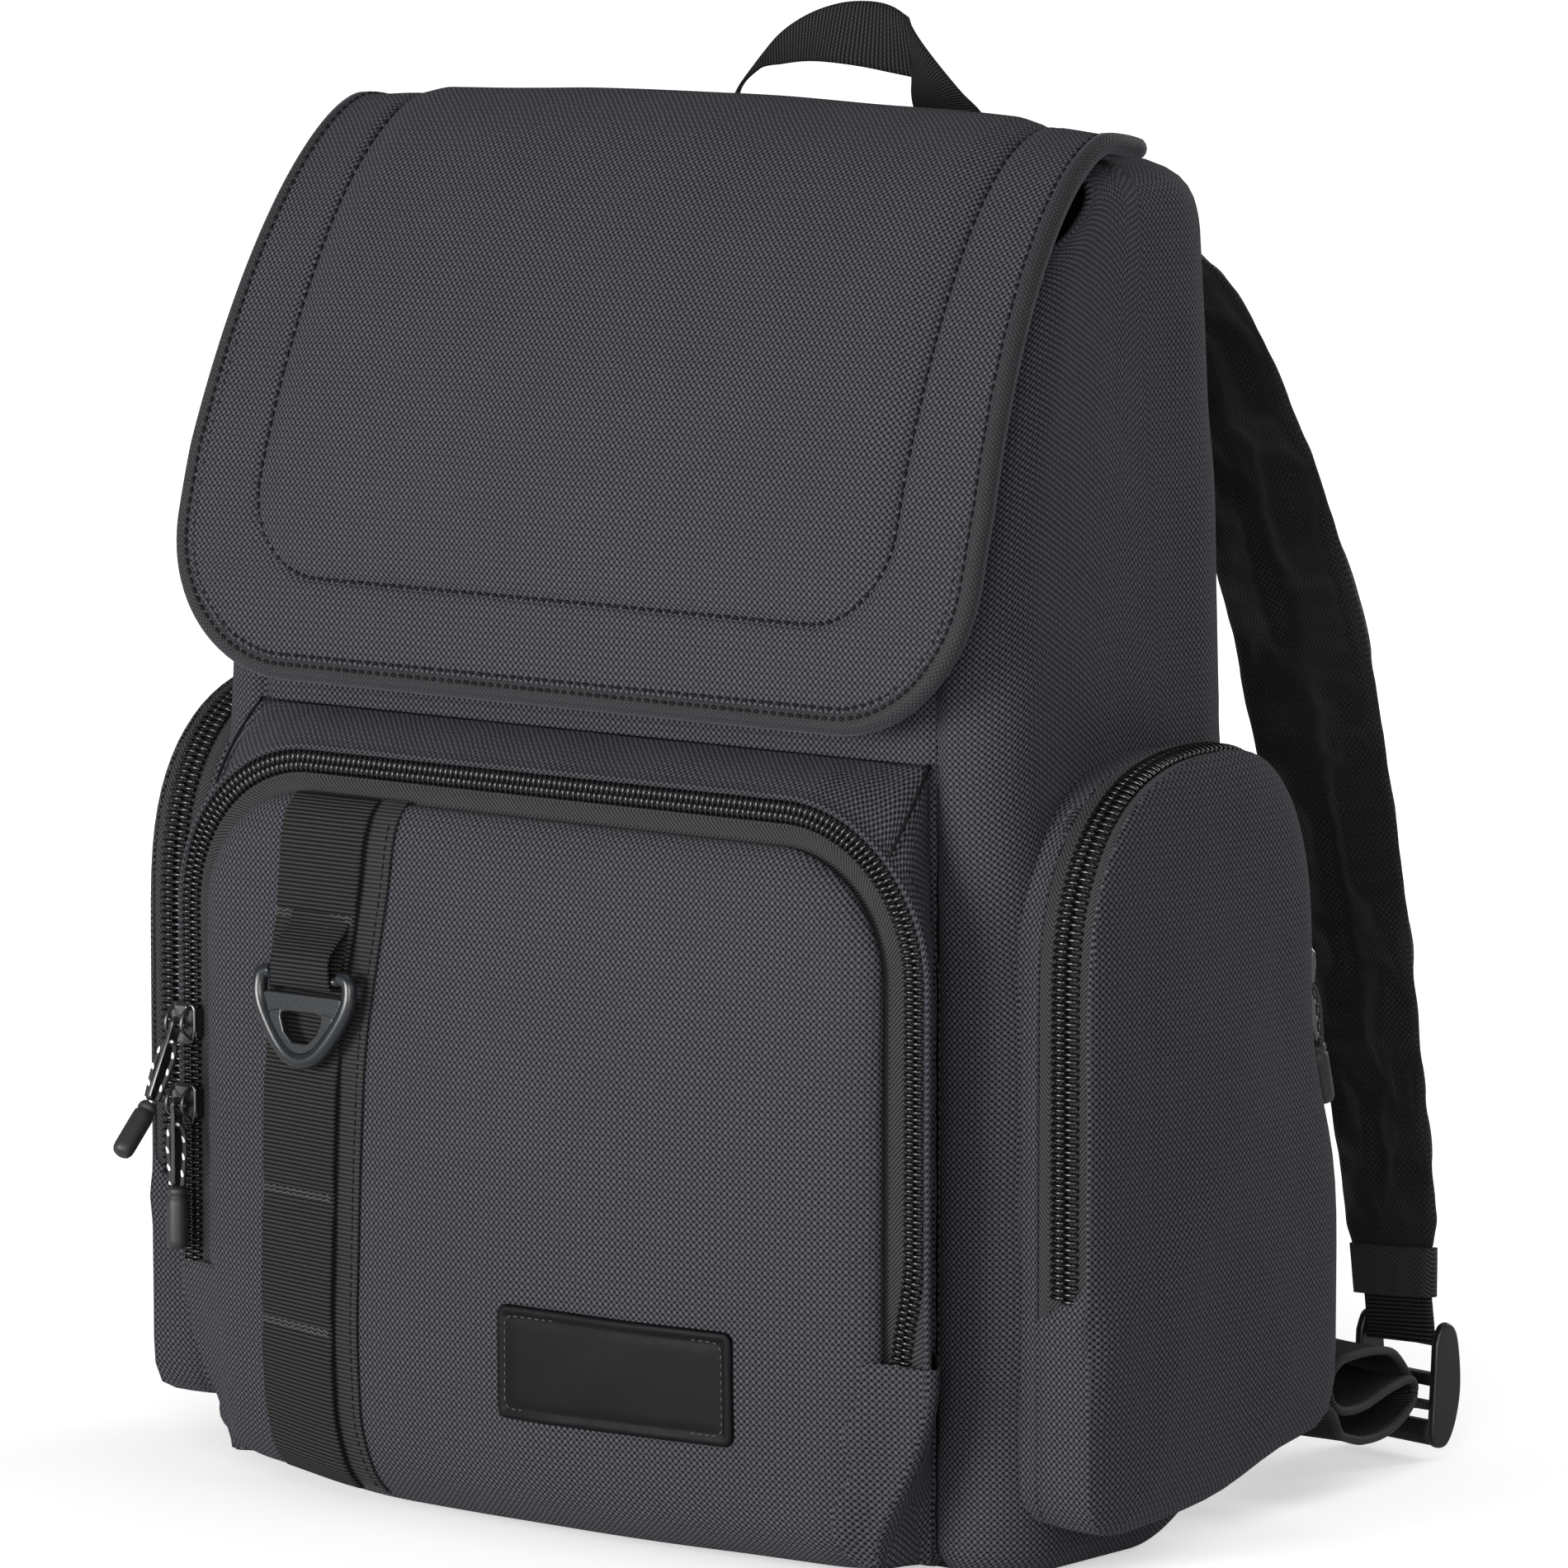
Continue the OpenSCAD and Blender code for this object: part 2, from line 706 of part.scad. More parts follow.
module d_ring() {
    w = ring_w / 2;
    h = ring_h - 5;
    hole = loop_w / 2 + 1.5;
    color([0.2, 0.2, 0.21])
        translate([ring_x, ring_y, ring_z]) rotate([-ring_rest, 0, 0]) {
            rotate([0, 90, 0]) cylinder(r = bar_r, h = 2 * hole + 2, center = true, $fn = 48);
            rotate([90, 0, 0])
                linear_extrude(2 * bar_r, center = true)
                    difference() {
                        polygon([
                            [-w, 0], [-w + 1.6, bar_r], [w - 1.6, bar_r], [w, 0], [w, -3], [w * 0.62, -h * 0.62], [w * 0.36, -h + 2],
                            [w * 0.2, -h], [-w * 0.2, -h], [-w * 0.36, -h + 2], [-w * 0.62, -h * 0.62], [-w, -3]
                        ]);
                        polygon([
                            [-hole, bar_r + 1], [hole, bar_r + 1], [hole, -5], [hole * 0.55, -h * 0.55],
                            [3, -h * 0.72], [-3, -h * 0.72], [-hole * 0.55, -h * 0.55], [-hole, -5]
                        ]);
                    }
        }
}

label_x = 46;
label_z = 58;

module label_patch() {
    color([0.27, 0.27, 0.3])
        on_face(label_x - label_w / 2, label_x + label_w / 2, label_z - label_h / 2, label_z + label_h / 2, 0.5, 1.2);
}

// Flap: a profile from the hem up and back to the hinge, and its half width at a height
function flap_profile(s) =
    s <= 1
        ? [crest_y - flap_reach * pow(1 - pow(s, 1.5), 0.6), hem_z + flap_drop * s]
        : [crest_y + flap_setback * (s - 1), crest_z - (crest_z - hinge_z - flap_t / 2) * pow(s - 1, 2)];
flap_steps = concat(
    [for (k = [1 : -0.1 : 0]) 1 - k * k],
    [1.3, 1.65, 2]
);
hem_steps = [for (a = [0 : 9 : 81]) flap_corner * (1 - cos(a)) / flap_drop];
function flap_half(z) = mix(flap_w, flap_top_w, clamp01((z - 330) / (crest_z - 330))) / 2;
function hem_round(z, in) =
    let (r = flap_corner - in, d = clamp01((z - hem_z - in) / r))
    r - sqrt(max(0, pow(r, 2) - pow(r * (1 - d), 2)));
function flap_edge(s, in) =
    flap_half(flap_profile(s)[1]) - in - (s < 1 ? hem_round(flap_profile(s)[1], in) : 0);
function flap_normal(s) =
    let (d = flap_profile(s + 0.01) - flap_profile(s))
    unit([0, -d[1], d[0]]);
function flap_point(s, x, in) =
    let (
        p = flap_profile(s), n = flap_normal(s),
        bulge = flap_crown * (1 - pow(x / flap_half(p[1]), 2)) * smooth(s / 0.4) * smooth((2 - s) / 0.8)
    )
    [x, p[0] + bulge * n[1], p[1] + bulge * n[2]];

module flap() {
    in = flap_roll + seam_gap;
    first = in / flap_drop;
    steps = concat(
        [for (s = hem_steps) s + first],
        [for (s = flap_steps) if (s > hem_steps[len(hem_steps) - 1] + first + 0.02) s]
    );
    color([0.22, 0.22, 0.25]) {
        sheet([
            for (s = steps)
                [for (u = [-1 : 0.125 : 1]) let (x = u * flap_edge(s, in)) flap_point(s, x, in)]
        ], flap_t);
        translate([0, hinge_y, hinge_z])
            rotate([0, 90, 0])
                cylinder(r = flap_t / 2, h = flap_top_w - 2 * in, center = true, $fn = 32);
    }
}

module flap_binding() {
    in = flap_roll / 2;
    first = in / flap_drop;
    low = [for (s = hem_steps) s + first];
    rise = [for (s = flap_steps) if (s > low[len(low) - 1] + 0.02) s];
    down = [for (k = [len(rise) - 1 : -1 : 0]) rise[k]];
    side = concat(down, [for (k = [len(low) - 1 : -1 : 0]) low[k]]);
    right = [for (s = side) flap_point(s, flap_edge(s, in), in) - flap_t / 2 * flap_normal(s)];
    facing = [for (s = side) flap_normal(s)];
    n = len(side);
    color([0.15, 0.15, 0.16])
        strip(
            concat(right, [for (i = [n - 1 : -1 : 0]) [-right[i][0], right[i][1], right[i][2]]]),
            concat(facing, [for (i = [n - 1 : -1 : 0]) facing[i]]),
            -flap_roll / 2, flap_roll / 2, -flap_t / 2, flap_t / 2
        );
}

snap_x = 80;
snap_z = hem_z + 18;
snap_split = front_y - 5;

module snap_sockets() {
    color([0.4, 0.4, 0.42]) both()
        translate([snap_x, front_y - seam_gap, snap_z])
            rotate([90, 0, 0])
                cylinder(d = snap_d, h = front_y - seam_gap - snap_split, $fn = 48);
}

module snap_studs() {
    face = flap_profile((snap_z - hem_z) / flap_drop)[0] + flap_t;
    color([0.4, 0.4, 0.42]) both()
        translate([snap_x, snap_split - seam_gap, snap_z])
            rotate([90, 0, 0])
                cylinder(d = snap_d, h = snap_split - face - 2.6, $fn = 48);
}

module haul_handle() {
    out = handle_w / 2 + webbing_w / 2;
    in = handle_w / 2 - webbing_w / 2;
    r_out = 18;
    r_in = 12;
    top_in = handle_h - webbing_w + 2;
    color([0.13, 0.13, 0.14])
        translate([0, handle_y, handle_z])
            rotate([90 - handle_lean, 0, 0]) {
                linear_extrude(webbing_t, center = true)
                    difference() {
                        union() {
                            translate([-out, 0]) square([2 * out, handle_h - r_out]);
                            translate([r_out - out, 0]) square([2 * (out - r_out), handle_h]);
                            for (x = [-1, 1])
                                translate([x * (out - r_out), handle_h - r_out]) circle(r = r_out, $fn = 96);
                        }
                        translate([-in, -1]) square([2 * in, top_in - r_in + 1]);
                        translate([r_in - in, -1]) square([2 * (in - r_in), top_in + 1]);
                        for (x = [-1, 1])
                            translate([x * (in - r_in), top_in - r_in]) circle(r = r_in, $fn = 96);
                    }
                for (x = [-out, in])
                    translate([x, 0, 0])
                        rotate([0, 90, 0])
                            cylinder(d = webbing_t, h = webbing_w, $fn = 24);
            }
}

handle_y = back_y + seam_gap + webbing_t / 2;
handle_z = bag_h - back_r + 1;

// Zipper slider on a vertical run, its channel open at both ends, and the bar that holds its pull
module slider(coil, clear) {
    w = coil / 2 + clear + 1;
    plate = coil_h + tape_t / 2 + seam_gap + clear;
    h = slider_h / 2;
    rotate([90, 0, 0])
        translate([0, 0, plate])
            linear_extrude(slider_t)
                polygon([[-w, 2 - h], [2 - w, -h], [w - 2, -h], [w, 2 - h], [w, h - 2], [w - 2, h], [2 - w, h], [-w, h - 2]]);
    for (x = [-w, w - 1])
        translate([x, -plate - slider_t, 2 - h])
            cube([1, plate + slider_t - tape_t / 2 - clear, slider_h - 4]);
    translate([0, -bail_out(clear), 0])
        rotate([0, 90, 0])
            cylinder(r = 0.9, h = 7, center = true, $fn = 24);
    for (x = [-3.9, 2.7])
        translate([x, -bail_out(clear), -1.5])
            cube([1.2, bail_out(clear) - plate - 0.9, 3]);
}
slider_h = 13;
slider_t = 1.8;
slide_gap = 0.6;
side_slide_gap = 0.85;
function bail_out(clear) = coil_h + tape_t / 2 + seam_gap + clear + slider_t + 3.2;

tab_w = 4.5;
tab_t = 1.6;
tab_h = 26;
cord_r = 1;
cord_drop = 6.2;
grip_r = 3.5;
grip_h = 20;

// Pull tab hanging from its bar at the origin, with an eye for the cord
module pull_tab() {
    color([0.35, 0.35, 0.37])
        rotate([90, 0, 90])
            linear_extrude(tab_t, center = true)
                difference() {
                    union() {
                        circle(r = 2.6, $fn = 48);
                        translate([-tab_w / 2, -tab_h]) square([tab_w, tab_h]);
                    }
                    circle(r = 1.3, $fn = 48);
                    translate([0, -cord_drop]) circle(r = cord_r + 0.35, $fn = 48);
                }
}

// Cord looped through the tab and down into the grip
cord_points = [
    [2.3, 0, -26], [2.7, 0, -22.5], [3.2, 0, -18], [3.5, 0, -13.5], [3.3, 0, -10], [2.5, 0, -7.6], [1.2, 0, -6.3],
    [0, 0, -6.1],
    [-1.2, 0, -6.3], [-2.5, 0, -7.6], [-3.3, 0, -10], [-3.5, 0, -13.5], [-3.2, 0, -18], [-2.7, 0, -22.5], [-2.3, 0, -26]
];

module pull_cord() {
    color([0.06, 0.06, 0.06]) tube(cord_points, cord_r, [0, 1, 0]);
}

module pull_grip(turn) {
    color([0.16, 0.16, 0.17])
        translate([0, 0, -tab_h - 0.4])
            rotate([-turn, 0, 0])
                translate([0, 0, -grip_h - (turn > 0 ? 1.2 : 0)])
                    cylinder(r = grip_r, h = grip_h, $fn = 48);
}

upper_slider_z = 147;
lower_slider_z = 121;
side_slider_z = side_corner_z - 2;
upper_swing = 27;
side_swing = 15;

module at_upper() {
    translate([-pocket_w / 2, zip_y, upper_slider_z]) children();
}

module at_lower() {
    translate([-pocket_w / 2, zip_y, lower_slider_z]) children();
}

module at_upper_pull() {
    at_upper() translate([0, -bail_out(slide_gap), 0]) rotate([-upper_swing, 0, 0]) children();
}

module at_lower_pull() {
    at_lower() translate([0, -bail_out(slide_gap), 0]) children();
}

// Side slider's place on the right: its coil faces back
module at_side() {
    translate([side_coil_x, side_rear + seam_gap + tape_t / 2, side_slider_z]) rotate([0, 0, 180]) children();
}

module at_side_pull() {
    at_side() translate([0, -bail_out(side_slide_gap), 0]) rotate([-side_swing, 0, 0]) children();
}

module pocket_slider_upper() {
    color([0.35, 0.35, 0.37]) at_upper() slider(coil_w, slide_gap);
}

module pocket_slider_lower() {
    color([0.35, 0.35, 0.37]) at_lower() slider(coil_w, slide_gap);
}

module side_slider_left() {
    color([0.35, 0.35, 0.37]) mirror([1, 0, 0]) at_side() slider(side_coil_w, side_slide_gap);
}

module side_slider_right() {
    color([0.35, 0.35, 0.37]) at_side() slider(side_coil_w, side_slide_gap);
}

module pull_tab_upper() {
    at_upper_pull() pull_tab();
}

module pull_cord_upper() {
    at_upper_pull() pull_cord();
}

module pull_grip_upper() {
    at_upper_pull() pull_grip(18);
}

module pull_tab_lower() {
    at_lower_pull() pull_tab();
}

module pull_cord_lower() {
    at_lower_pull() pull_cord();
}

module pull_grip_lower() {
    at_lower_pull() pull_grip(0);
}

module side_pull_tab_left() {
    mirror([1, 0, 0]) at_side_pull() pull_tab();
}

module side_pull_cord_left() {
    mirror([1, 0, 0]) at_side_pull() pull_cord();
}

module side_pull_grip_left() {
    mirror([1, 0, 0]) at_side_pull() pull_grip(0);
}

module side_pull_tab_right() {
    at_side_pull() pull_tab();
}

module side_pull_cord_right() {
    at_side_pull() pull_cord();
}

module side_pull_grip_right() {
    at_side_pull() pull_grip(0);
}

// Shoulder straps: the right one, swinging about the line between its two anchors
strap_top = [strap_x, back_y + 36, 390];
strap_low = [base_w / 2 - 16, back_y + 26, 32];
strap_seat = strap_w / 2;
low_seat = strap_web_w / 2;
swing_z = unit(strap_top - strap_low);
swing_x = unit(cross([0, 1, 0], swing_z));
swing_y = cross(swing_z, swing_x);
strap_side = unit([0.985, -0.174, 0]);

// Frame with its Z along the swing line, at a point on it
module on_swing(p) {
    multmatrix([
        [swing_x[0], swing_y[0], swing_z[0], p[0]],
        [swing_x[1], swing_y[1], swing_z[1], p[1]],
        [swing_x[2], swing_y[2], swing_z[2], p[2]],
        [0, 0, 0, 1]
    ])
        children();
}

// Band along a path, with a width, a thickness and a side direction at each point
module band(p, side, w, t) {
    loft([
        for (i = [0 : len(p) - 1])
            let (
                d = tangent(p, i), n = unit(cross(d, side[i])), b = cross(n, d),
                x = w[i] / 2, y = t[i] / 2, c = t[i] * 0.3
            )
            [
                for (q = [[x, -y + c], [x, y - c], [x - c, y], [c - x, y], [-x, y - c], [-x, c - y], [c - x, -y], [x - c, -y]])
                    p[i] + q[0] * b + q[1] * n
            ]
    ]);
}

strap_path = [
    strap_top, strap_top + [2, 16, -1], [64.5, 131, 384], [67.5, 144, 374], [71, 155, 359], [77, 164, 338],
    [84, 170.5, 314], [96, 177.5, 268], [106, 182, 216], [114, 184.5, 172], [121, 185.5, 130], [128, 184.5, 94],
    [132, 183.5, 66]
];

module strap_right() {
    n = len(strap_path);
    color([0.13, 0.13, 0.14]) {
        band(
            strap_path,
            [for (i = [0 : n - 1]) unit(mix(swing_x, strap_side, clamp01(i / 4)))],
            [for (i = [0 : n - 1]) mix(strap_w, strap_end_w, smooth((i - 6) / (n - 7)))],
            [for (i = [0 : n - 1]) strap_t]
        );
        on_swing(strap_top) cylinder(r = strap_seat, h = strap_t, center = true, $fn = 96);
    }
}

module strap_left() {
    mirror([1, 0, 0]) strap_right();
}

// Plate on the bag with a round seat that a strap's end turns in
module seat_plate(p, r, t, half, depth) {
    on_swing(p)
        translate([0, 0, -t / 2])
            linear_extrude(t)
                difference() {
                    translate([-half, -depth]) square([2 * half, depth - r * 0.45]);
                    circle(r = r + run_gap, $fn = 96);
                }
}

module strap_roots() {
    color([0.13, 0.13, 0.14]) both()
        difference() {
            seat_plate(strap_top, strap_seat, strap_t, strap_seat * 0.8, 34.9);
            translate([0, back_y - 20 + seam_gap, strap_top[2]]) cube([400, 40, 100], center = true);
        }
}

module anchor_wings() {
    color([0.13, 0.13, 0.14]) both()
        difference() {
            seat_plate(strap_low, low_seat, 3, low_seat * 0.8, 42);
            bag_block(seam_gap);
            translate([base_w / 2 - 17, 0, 0]) cube([40, side_rear_at(0) + seam_gap, 80]);
        }
}

web_low = [132.6, 183.2, 64.2];

module strap_tab_right() {
    p = [for (k = [0 : 3]) web_low - [-0.2 * k, 0.1 * k, 0.3 + 4 * k]];
    color([0.1, 0.1, 0.11])
        band(p, [for (q = p) strap_side], [for (q = p) strap_web_w + 6], [for (k = [0 : 3]) 8 - k]);
}

module strap_tab_left() {
    mirror([1, 0, 0]) strap_tab_right();
}

lock_at = [135, 184, 24];

// Frame of a ladder lock: X across it, Y to its back, Z up
module on_lock() {
    translate(lock_at) rotate([0, 0, atan2(strap_side[1], strap_side[0])]) children();
}

lock_t = 5;
lock_bar = 4;

module strap_webbing_right() {
    color([0.13, 0.13, 0.14])
        on_lock()
            translate([-strap_web_w / 2, -1.6, lock_h / 2 - lock_bar - 1.2])
                cube([strap_web_w, 3.2, web_low[2] - 13.7 - lock_at[2] - lock_h / 2 + lock_bar + 1.2]);
}

module strap_webbing_left() {
    mirror([1, 0, 0]) strap_webbing_right();
}

// Ladder lock: two rails, a split top bar, a middle bar and a lifted lip
module ladder_lock_right() {
    rail = strap_web_w / 2 + 0.8;
    h = lock_h / 2;
    color([0.1, 0.1, 0.11])
        on_lock() {
            for (x = [-rail - 3.2, rail])
                translate([x, 0, 0])
                    rotate([90, 0, 90])
                        linear_extrude(3.2)
                            polygon([
                                [-2.5, h - 6], [0, h], [4, h], [7.5, h - 5], [9, 0], [7, -h + 8], [3, -h], [-2, -h],
                                [-4, -h + 4], [-3, 0]
                            ]);
            translate([-rail - 1, 2.4, h - 8]) cube([2 * rail + 2, 3.4, 5]);
            translate([-rail - 1, 0, -1]) cube([2 * rail + 2, lock_t, lock_bar]);
            translate([-rail - 1, -1, -h]) cube([2 * rail + 2, 3, 8]);
        }
}

module ladder_lock_left() {
    mirror([1, 0, 0]) ladder_lock_right();
}

// Lower webbing, folded in an S between the anchor and the lock
low_path = [
    strap_low, strap_low + [-1, 10, -5], [148, 112, 19], [146, 128, 15.5], [144, 144, 15.5], [142, 158, 19.5],
    [141, 164, 25], [141.5, 160, 29.5], [143, 148, 29], [146, 128, 26.5], [148, 114, 28], [149, 107, 33],
    [148, 109, 39], [146.5, 118, 43], [144, 136, 43], [140, 152, 39.5], [136, 166, 31], [133.5, 175, 20.2],
    [134.4, 181, 17.4], [135.4, 186.5, 17]
];

module lower_webbing_right() {
    color([0.13, 0.13, 0.14]) {
        band(
            low_path,
            [for (i = [0 : len(low_path) - 1]) unit(mix(swing_x, strap_side, clamp01(i / 3)))],
            [for (p = low_path) strap_web_w],
            [for (p = low_path) webbing_t]
        );
        on_swing(strap_low) cylinder(r = low_seat, h = webbing_t, center = true, $fn = 96);
    }
}

module lower_webbing_left() {
    mirror([1, 0, 0]) lower_webbing_right();
}

front_panel();
side_panel_left();
side_panel_right();
back_panel();
back_foam();
back_mesh_pad();
top_yoke();
base_panel();
base_board();
mouth_binding();
mouth_eyelets();
laptop_sleeve();
pocket_panel();
pocket_gusset();
pocket_zip_tape();
pocket_zip_coil();
side_pocket_left();
side_pocket_right();
side_zip_tapes();
side_zip_coils();
daisy_webbing();
daisy_backing();
ring_loop();
label_patch();
snap_sockets();
strap_roots();
anchor_wings();
flap();
flap_binding();
snap_studs();
haul_handle();
d_ring();
pocket_slider_upper();
pocket_slider_lower();
pull_tab_upper();
pull_cord_upper();
pull_grip_upper();
pull_tab_lower();
pull_cord_lower();
pull_grip_lower();
side_slider_left();
side_slider_right();
side_pull_tab_left();
side_pull_cord_left();
side_pull_grip_left();
side_pull_tab_right();
side_pull_cord_right();
side_pull_grip_right();
strap_left();
strap_right();
strap_tab_left();
strap_tab_right();
strap_webbing_left();
strap_webbing_right();
ladder_lock_left();
ladder_lock_right();
lower_webbing_left();
lower_webbing_right();
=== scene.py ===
import bpy, bmesh, math
from mathutils import Vector, Matrix, noise


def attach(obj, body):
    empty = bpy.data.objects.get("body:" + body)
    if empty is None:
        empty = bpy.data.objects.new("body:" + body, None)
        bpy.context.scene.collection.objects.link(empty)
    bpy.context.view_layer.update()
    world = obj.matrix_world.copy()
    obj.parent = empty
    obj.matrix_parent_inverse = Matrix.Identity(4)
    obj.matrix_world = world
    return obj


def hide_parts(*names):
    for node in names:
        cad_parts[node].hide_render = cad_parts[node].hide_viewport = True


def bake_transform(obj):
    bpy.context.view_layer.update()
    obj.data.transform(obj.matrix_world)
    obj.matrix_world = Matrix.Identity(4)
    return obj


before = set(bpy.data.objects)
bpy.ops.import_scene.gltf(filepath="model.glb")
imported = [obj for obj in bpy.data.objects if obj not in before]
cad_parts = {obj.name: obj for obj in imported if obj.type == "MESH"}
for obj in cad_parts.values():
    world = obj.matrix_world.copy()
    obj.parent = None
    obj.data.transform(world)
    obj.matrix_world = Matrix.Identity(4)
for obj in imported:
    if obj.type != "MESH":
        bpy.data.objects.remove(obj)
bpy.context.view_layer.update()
print("frame loaded")

# Sizes are millimetres until a mesh is made, and metre says how many make one
metre = 1000
sides = (("Right", 1), ("Left", -1))


def clamp01(t): return max(0.0, min(1.0, t))


def mix(a, b, t): return a + (b - a) * t


def smooth(t):
    u = clamp01(t)
    return u * u * (3 - 2 * u)


def roundIn(t, r): return r * (1 - math.sqrt(max(0.0, 1 - clamp01(t) ** 2)))


def bell(d, width): return math.exp(-(d / width) ** 2)


def cosSin(degrees): return math.cos(math.radians(degrees)), math.sin(math.radians(degrees))


def circle(count):
    angles = [2 * math.pi * k / count for k in range(count)]
    return [(math.cos(a), math.sin(a)) for a in angles]


def lump(x, y, z, size, seed=0.0):
    return noise.noise(Vector((x / size + seed, y / size, z / size)))


def interpolated(points, per=8):
    # Catmull-Rom curve through the points
    pts = [Vector(p) for p in points]
    last = len(pts) - 1
    out = []
    for i in range(last):
        a, b, c, d = pts[max(0, i - 1)], pts[i], pts[i + 1], pts[min(last, i + 2)]
        for t in [k / per for k in range(per)]:
            out.append(0.5 * ((2 * b) + (c - a) * t + (2 * a - 5 * b + 4 * c - d) * t * t
                              + (3 * b - a - 3 * c + d) * t ** 3))
    return out + [pts[-1].copy()]


def evenly(points, step):
    # The same line with points a step apart
    pts = [Vector(p) for p in points]
    lengths = [0.0]
    for a, b in zip(pts, pts[1:]):
        lengths.append(lengths[-1] + (b - a).length)
    count = max(2, round(lengths[-1] / step))
    out, k = [], 0
    for i in range(count + 1):
        s = lengths[-1] * i / count
        while k < len(pts) - 2 and lengths[k + 1] < s:
            k += 1
        f = (s - lengths[k]) / max(1e-9, lengths[k + 1] - lengths[k])
        out.append(pts[k].lerp(pts[k + 1], f))
    return out


def tangents(pts):
    last = len(pts) - 1
    return [(pts[min(i + 1, last)] - pts[max(i - 1, 0)]).normalized() for i in range(last + 1)]


def move(x, y, z): return Matrix.Translation((x / metre, y / metre, z / metre))


def turned(degrees, axis="X"): return Matrix.Rotation(math.radians(degrees), 4, axis)


def newObject(name, data):
    made = bpy.data.objects.new(name, data)
    bpy.context.scene.collection.objects.link(made)
    return made


def evaluatedMesh(holder):
    # The mesh that the holder's modifiers make; the holder goes
    graph = bpy.context.evaluated_depsgraph_get()
    mesh = bpy.data.meshes.new_from_object(holder.evaluated_get(graph))
    bpy.data.objects.remove(holder)
    return mesh


# Camera and lamps, in metres and watts
cameraSetup = {"place": (2.1104, -2.6210, 0.6756), "back": (0.6170, -0.7757, 0.1323),
               "right": (0.7826, 0.6225, 0.0), "lens": 246.3, "sensor": 36, "far": 50}
back = Vector(cameraSetup["back"]).normalized()
right = Vector(cameraSetup["right"]).normalized()
cameraData = bpy.data.cameras.new("camera")
cameraData.lens = cameraSetup["lens"]
cameraData.sensor_width = cameraSetup["sensor"]
cameraData.clip_end = cameraSetup["far"]
camera = newObject("camera", cameraData)
axes = Matrix((right, back.cross(right), back)).transposed()
camera.matrix_world = Matrix.Translation(cameraSetup["place"]) @ axes.to_4x4()
bpy.context.scene.camera = camera
bpy.context.scene.view_settings.view_transform = "Standard"

lampAim = Vector((0, 0, 0.22))
lampSetup = [
    # name, place, size, watts, colour
    ("keyPanel", (-0.6, -2.8, 0.35), 1.5, 125, (1.0, 0.99, 0.98)),
    ("cameraPanel", (1.6, -2.2, 0.7), 1.4, 36, (1.0, 1.0, 1.0)),
    ("sidePanel", (2.6, -0.3, 1.0), 1.3, 6, (0.98, 0.99, 1.0)),
    ("topPanel", (0.1, 0.3, 2.6), 1.4, 5, (1.0, 1.0, 1.0)),
    ("backPanel", (0.6, 2.3, 1.4), 1.4, 24, (1.0, 1.0, 1.0)),
]
for lampName, place, size, watts, colour in lampSetup:
    lampData = bpy.data.lights.new(lampName, "AREA")
    lampData.shape = "DISK"
    lampData.size = size
    lampData.energy = watts
    lampData.color = colour
    facing = (lampAim - Vector(place)).to_track_quat("-Z", "Y")
    newObject(lampName, lampData).matrix_world = Matrix.Translation(place) @ facing.to_matrix().to_4x4()


# Node trees: a Wire is a node's output that formulas can be written with

def feed(node, values):
    for key, value in values.items():
        if isinstance(value, Wire):
            node.id_data.links.new(value.socket, node.inputs[key])
        else:
            node.inputs[key].default_value = value


def makeNode(tree, kind, values=None, **settings):
    node = tree.nodes.new(kind)
    for key, value in settings.items():
        setattr(node, key, value)
    feed(node, values or {})
    return node


def wire(tree, kind, values=None, key=0, **settings):
    return Wire(makeNode(tree, kind, values, **settings), key)


def reckon(operation, *terms):
    tree = next(term.tree for term in terms if isinstance(term, Wire))
    return wire(tree, "ShaderNodeMath", dict(enumerate(terms)), operation=operation)


class Wire:
    def __init__(self, node, key=0): self.socket, self.tree = node.outputs[key], node.id_data

    def __add__(self, other): return reckon("ADD", self, other)

    def __sub__(self, other): return reckon("SUBTRACT", self, other)

    def __rsub__(self, other): return reckon("SUBTRACT", other, self)

    def __mul__(self, other): return reckon("MULTIPLY", self, other)

    def __truediv__(self, other): return reckon("DIVIDE", self, other)

    def __rtruediv__(self, other): return reckon("DIVIDE", other, self)

    def __pow__(self, other): return reckon("POWER", self, other)

    def times(self, gain, offset): return reckon("MULTIPLY_ADD", self, gain, offset)

    def to(self, operation, *terms): return reckon(operation, self, *terms)


def scaledVector(tree, vector, factor):
    return wire(tree, "ShaderNodeVectorMath", {0: vector, "Scale": factor}, operation="SCALE")


def mixedColour(tree, factor, first, second):
    return wire(tree, "ShaderNodeMix", {"Factor": factor, 6: first, 7: second}, 2, data_type="RGBA")


def axesOf(vector):
    parts = makeNode(vector.tree, "ShaderNodeSeparateXYZ", {0: vector})
    return Wire(parts, 0), Wire(parts, 1)


def halfWave(line): return (line.to("FRACT") * math.pi).to("SINE")


def newGroup(name, numbers, outputs):
    # A group with a Vector input, and numbers as its other inputs and its outputs
    tree = bpy.data.node_groups.new(name, "ShaderNodeTree")
    tree.interface.new_socket("Vector", in_out="INPUT", socket_type="NodeSocketVector")
    for label, value in numbers.items():
        tree.interface.new_socket(label, in_out="INPUT", socket_type="NodeSocketFloat").default_value = value
    for label in outputs:
        tree.interface.new_socket(label, in_out="OUTPUT", socket_type="NodeSocketFloat")
    source = tree.nodes.new("NodeGroupInput")
    return tree, {label: Wire(source, label) for label in ("Vector", *numbers)}, tree.nodes.new("NodeGroupOutput")


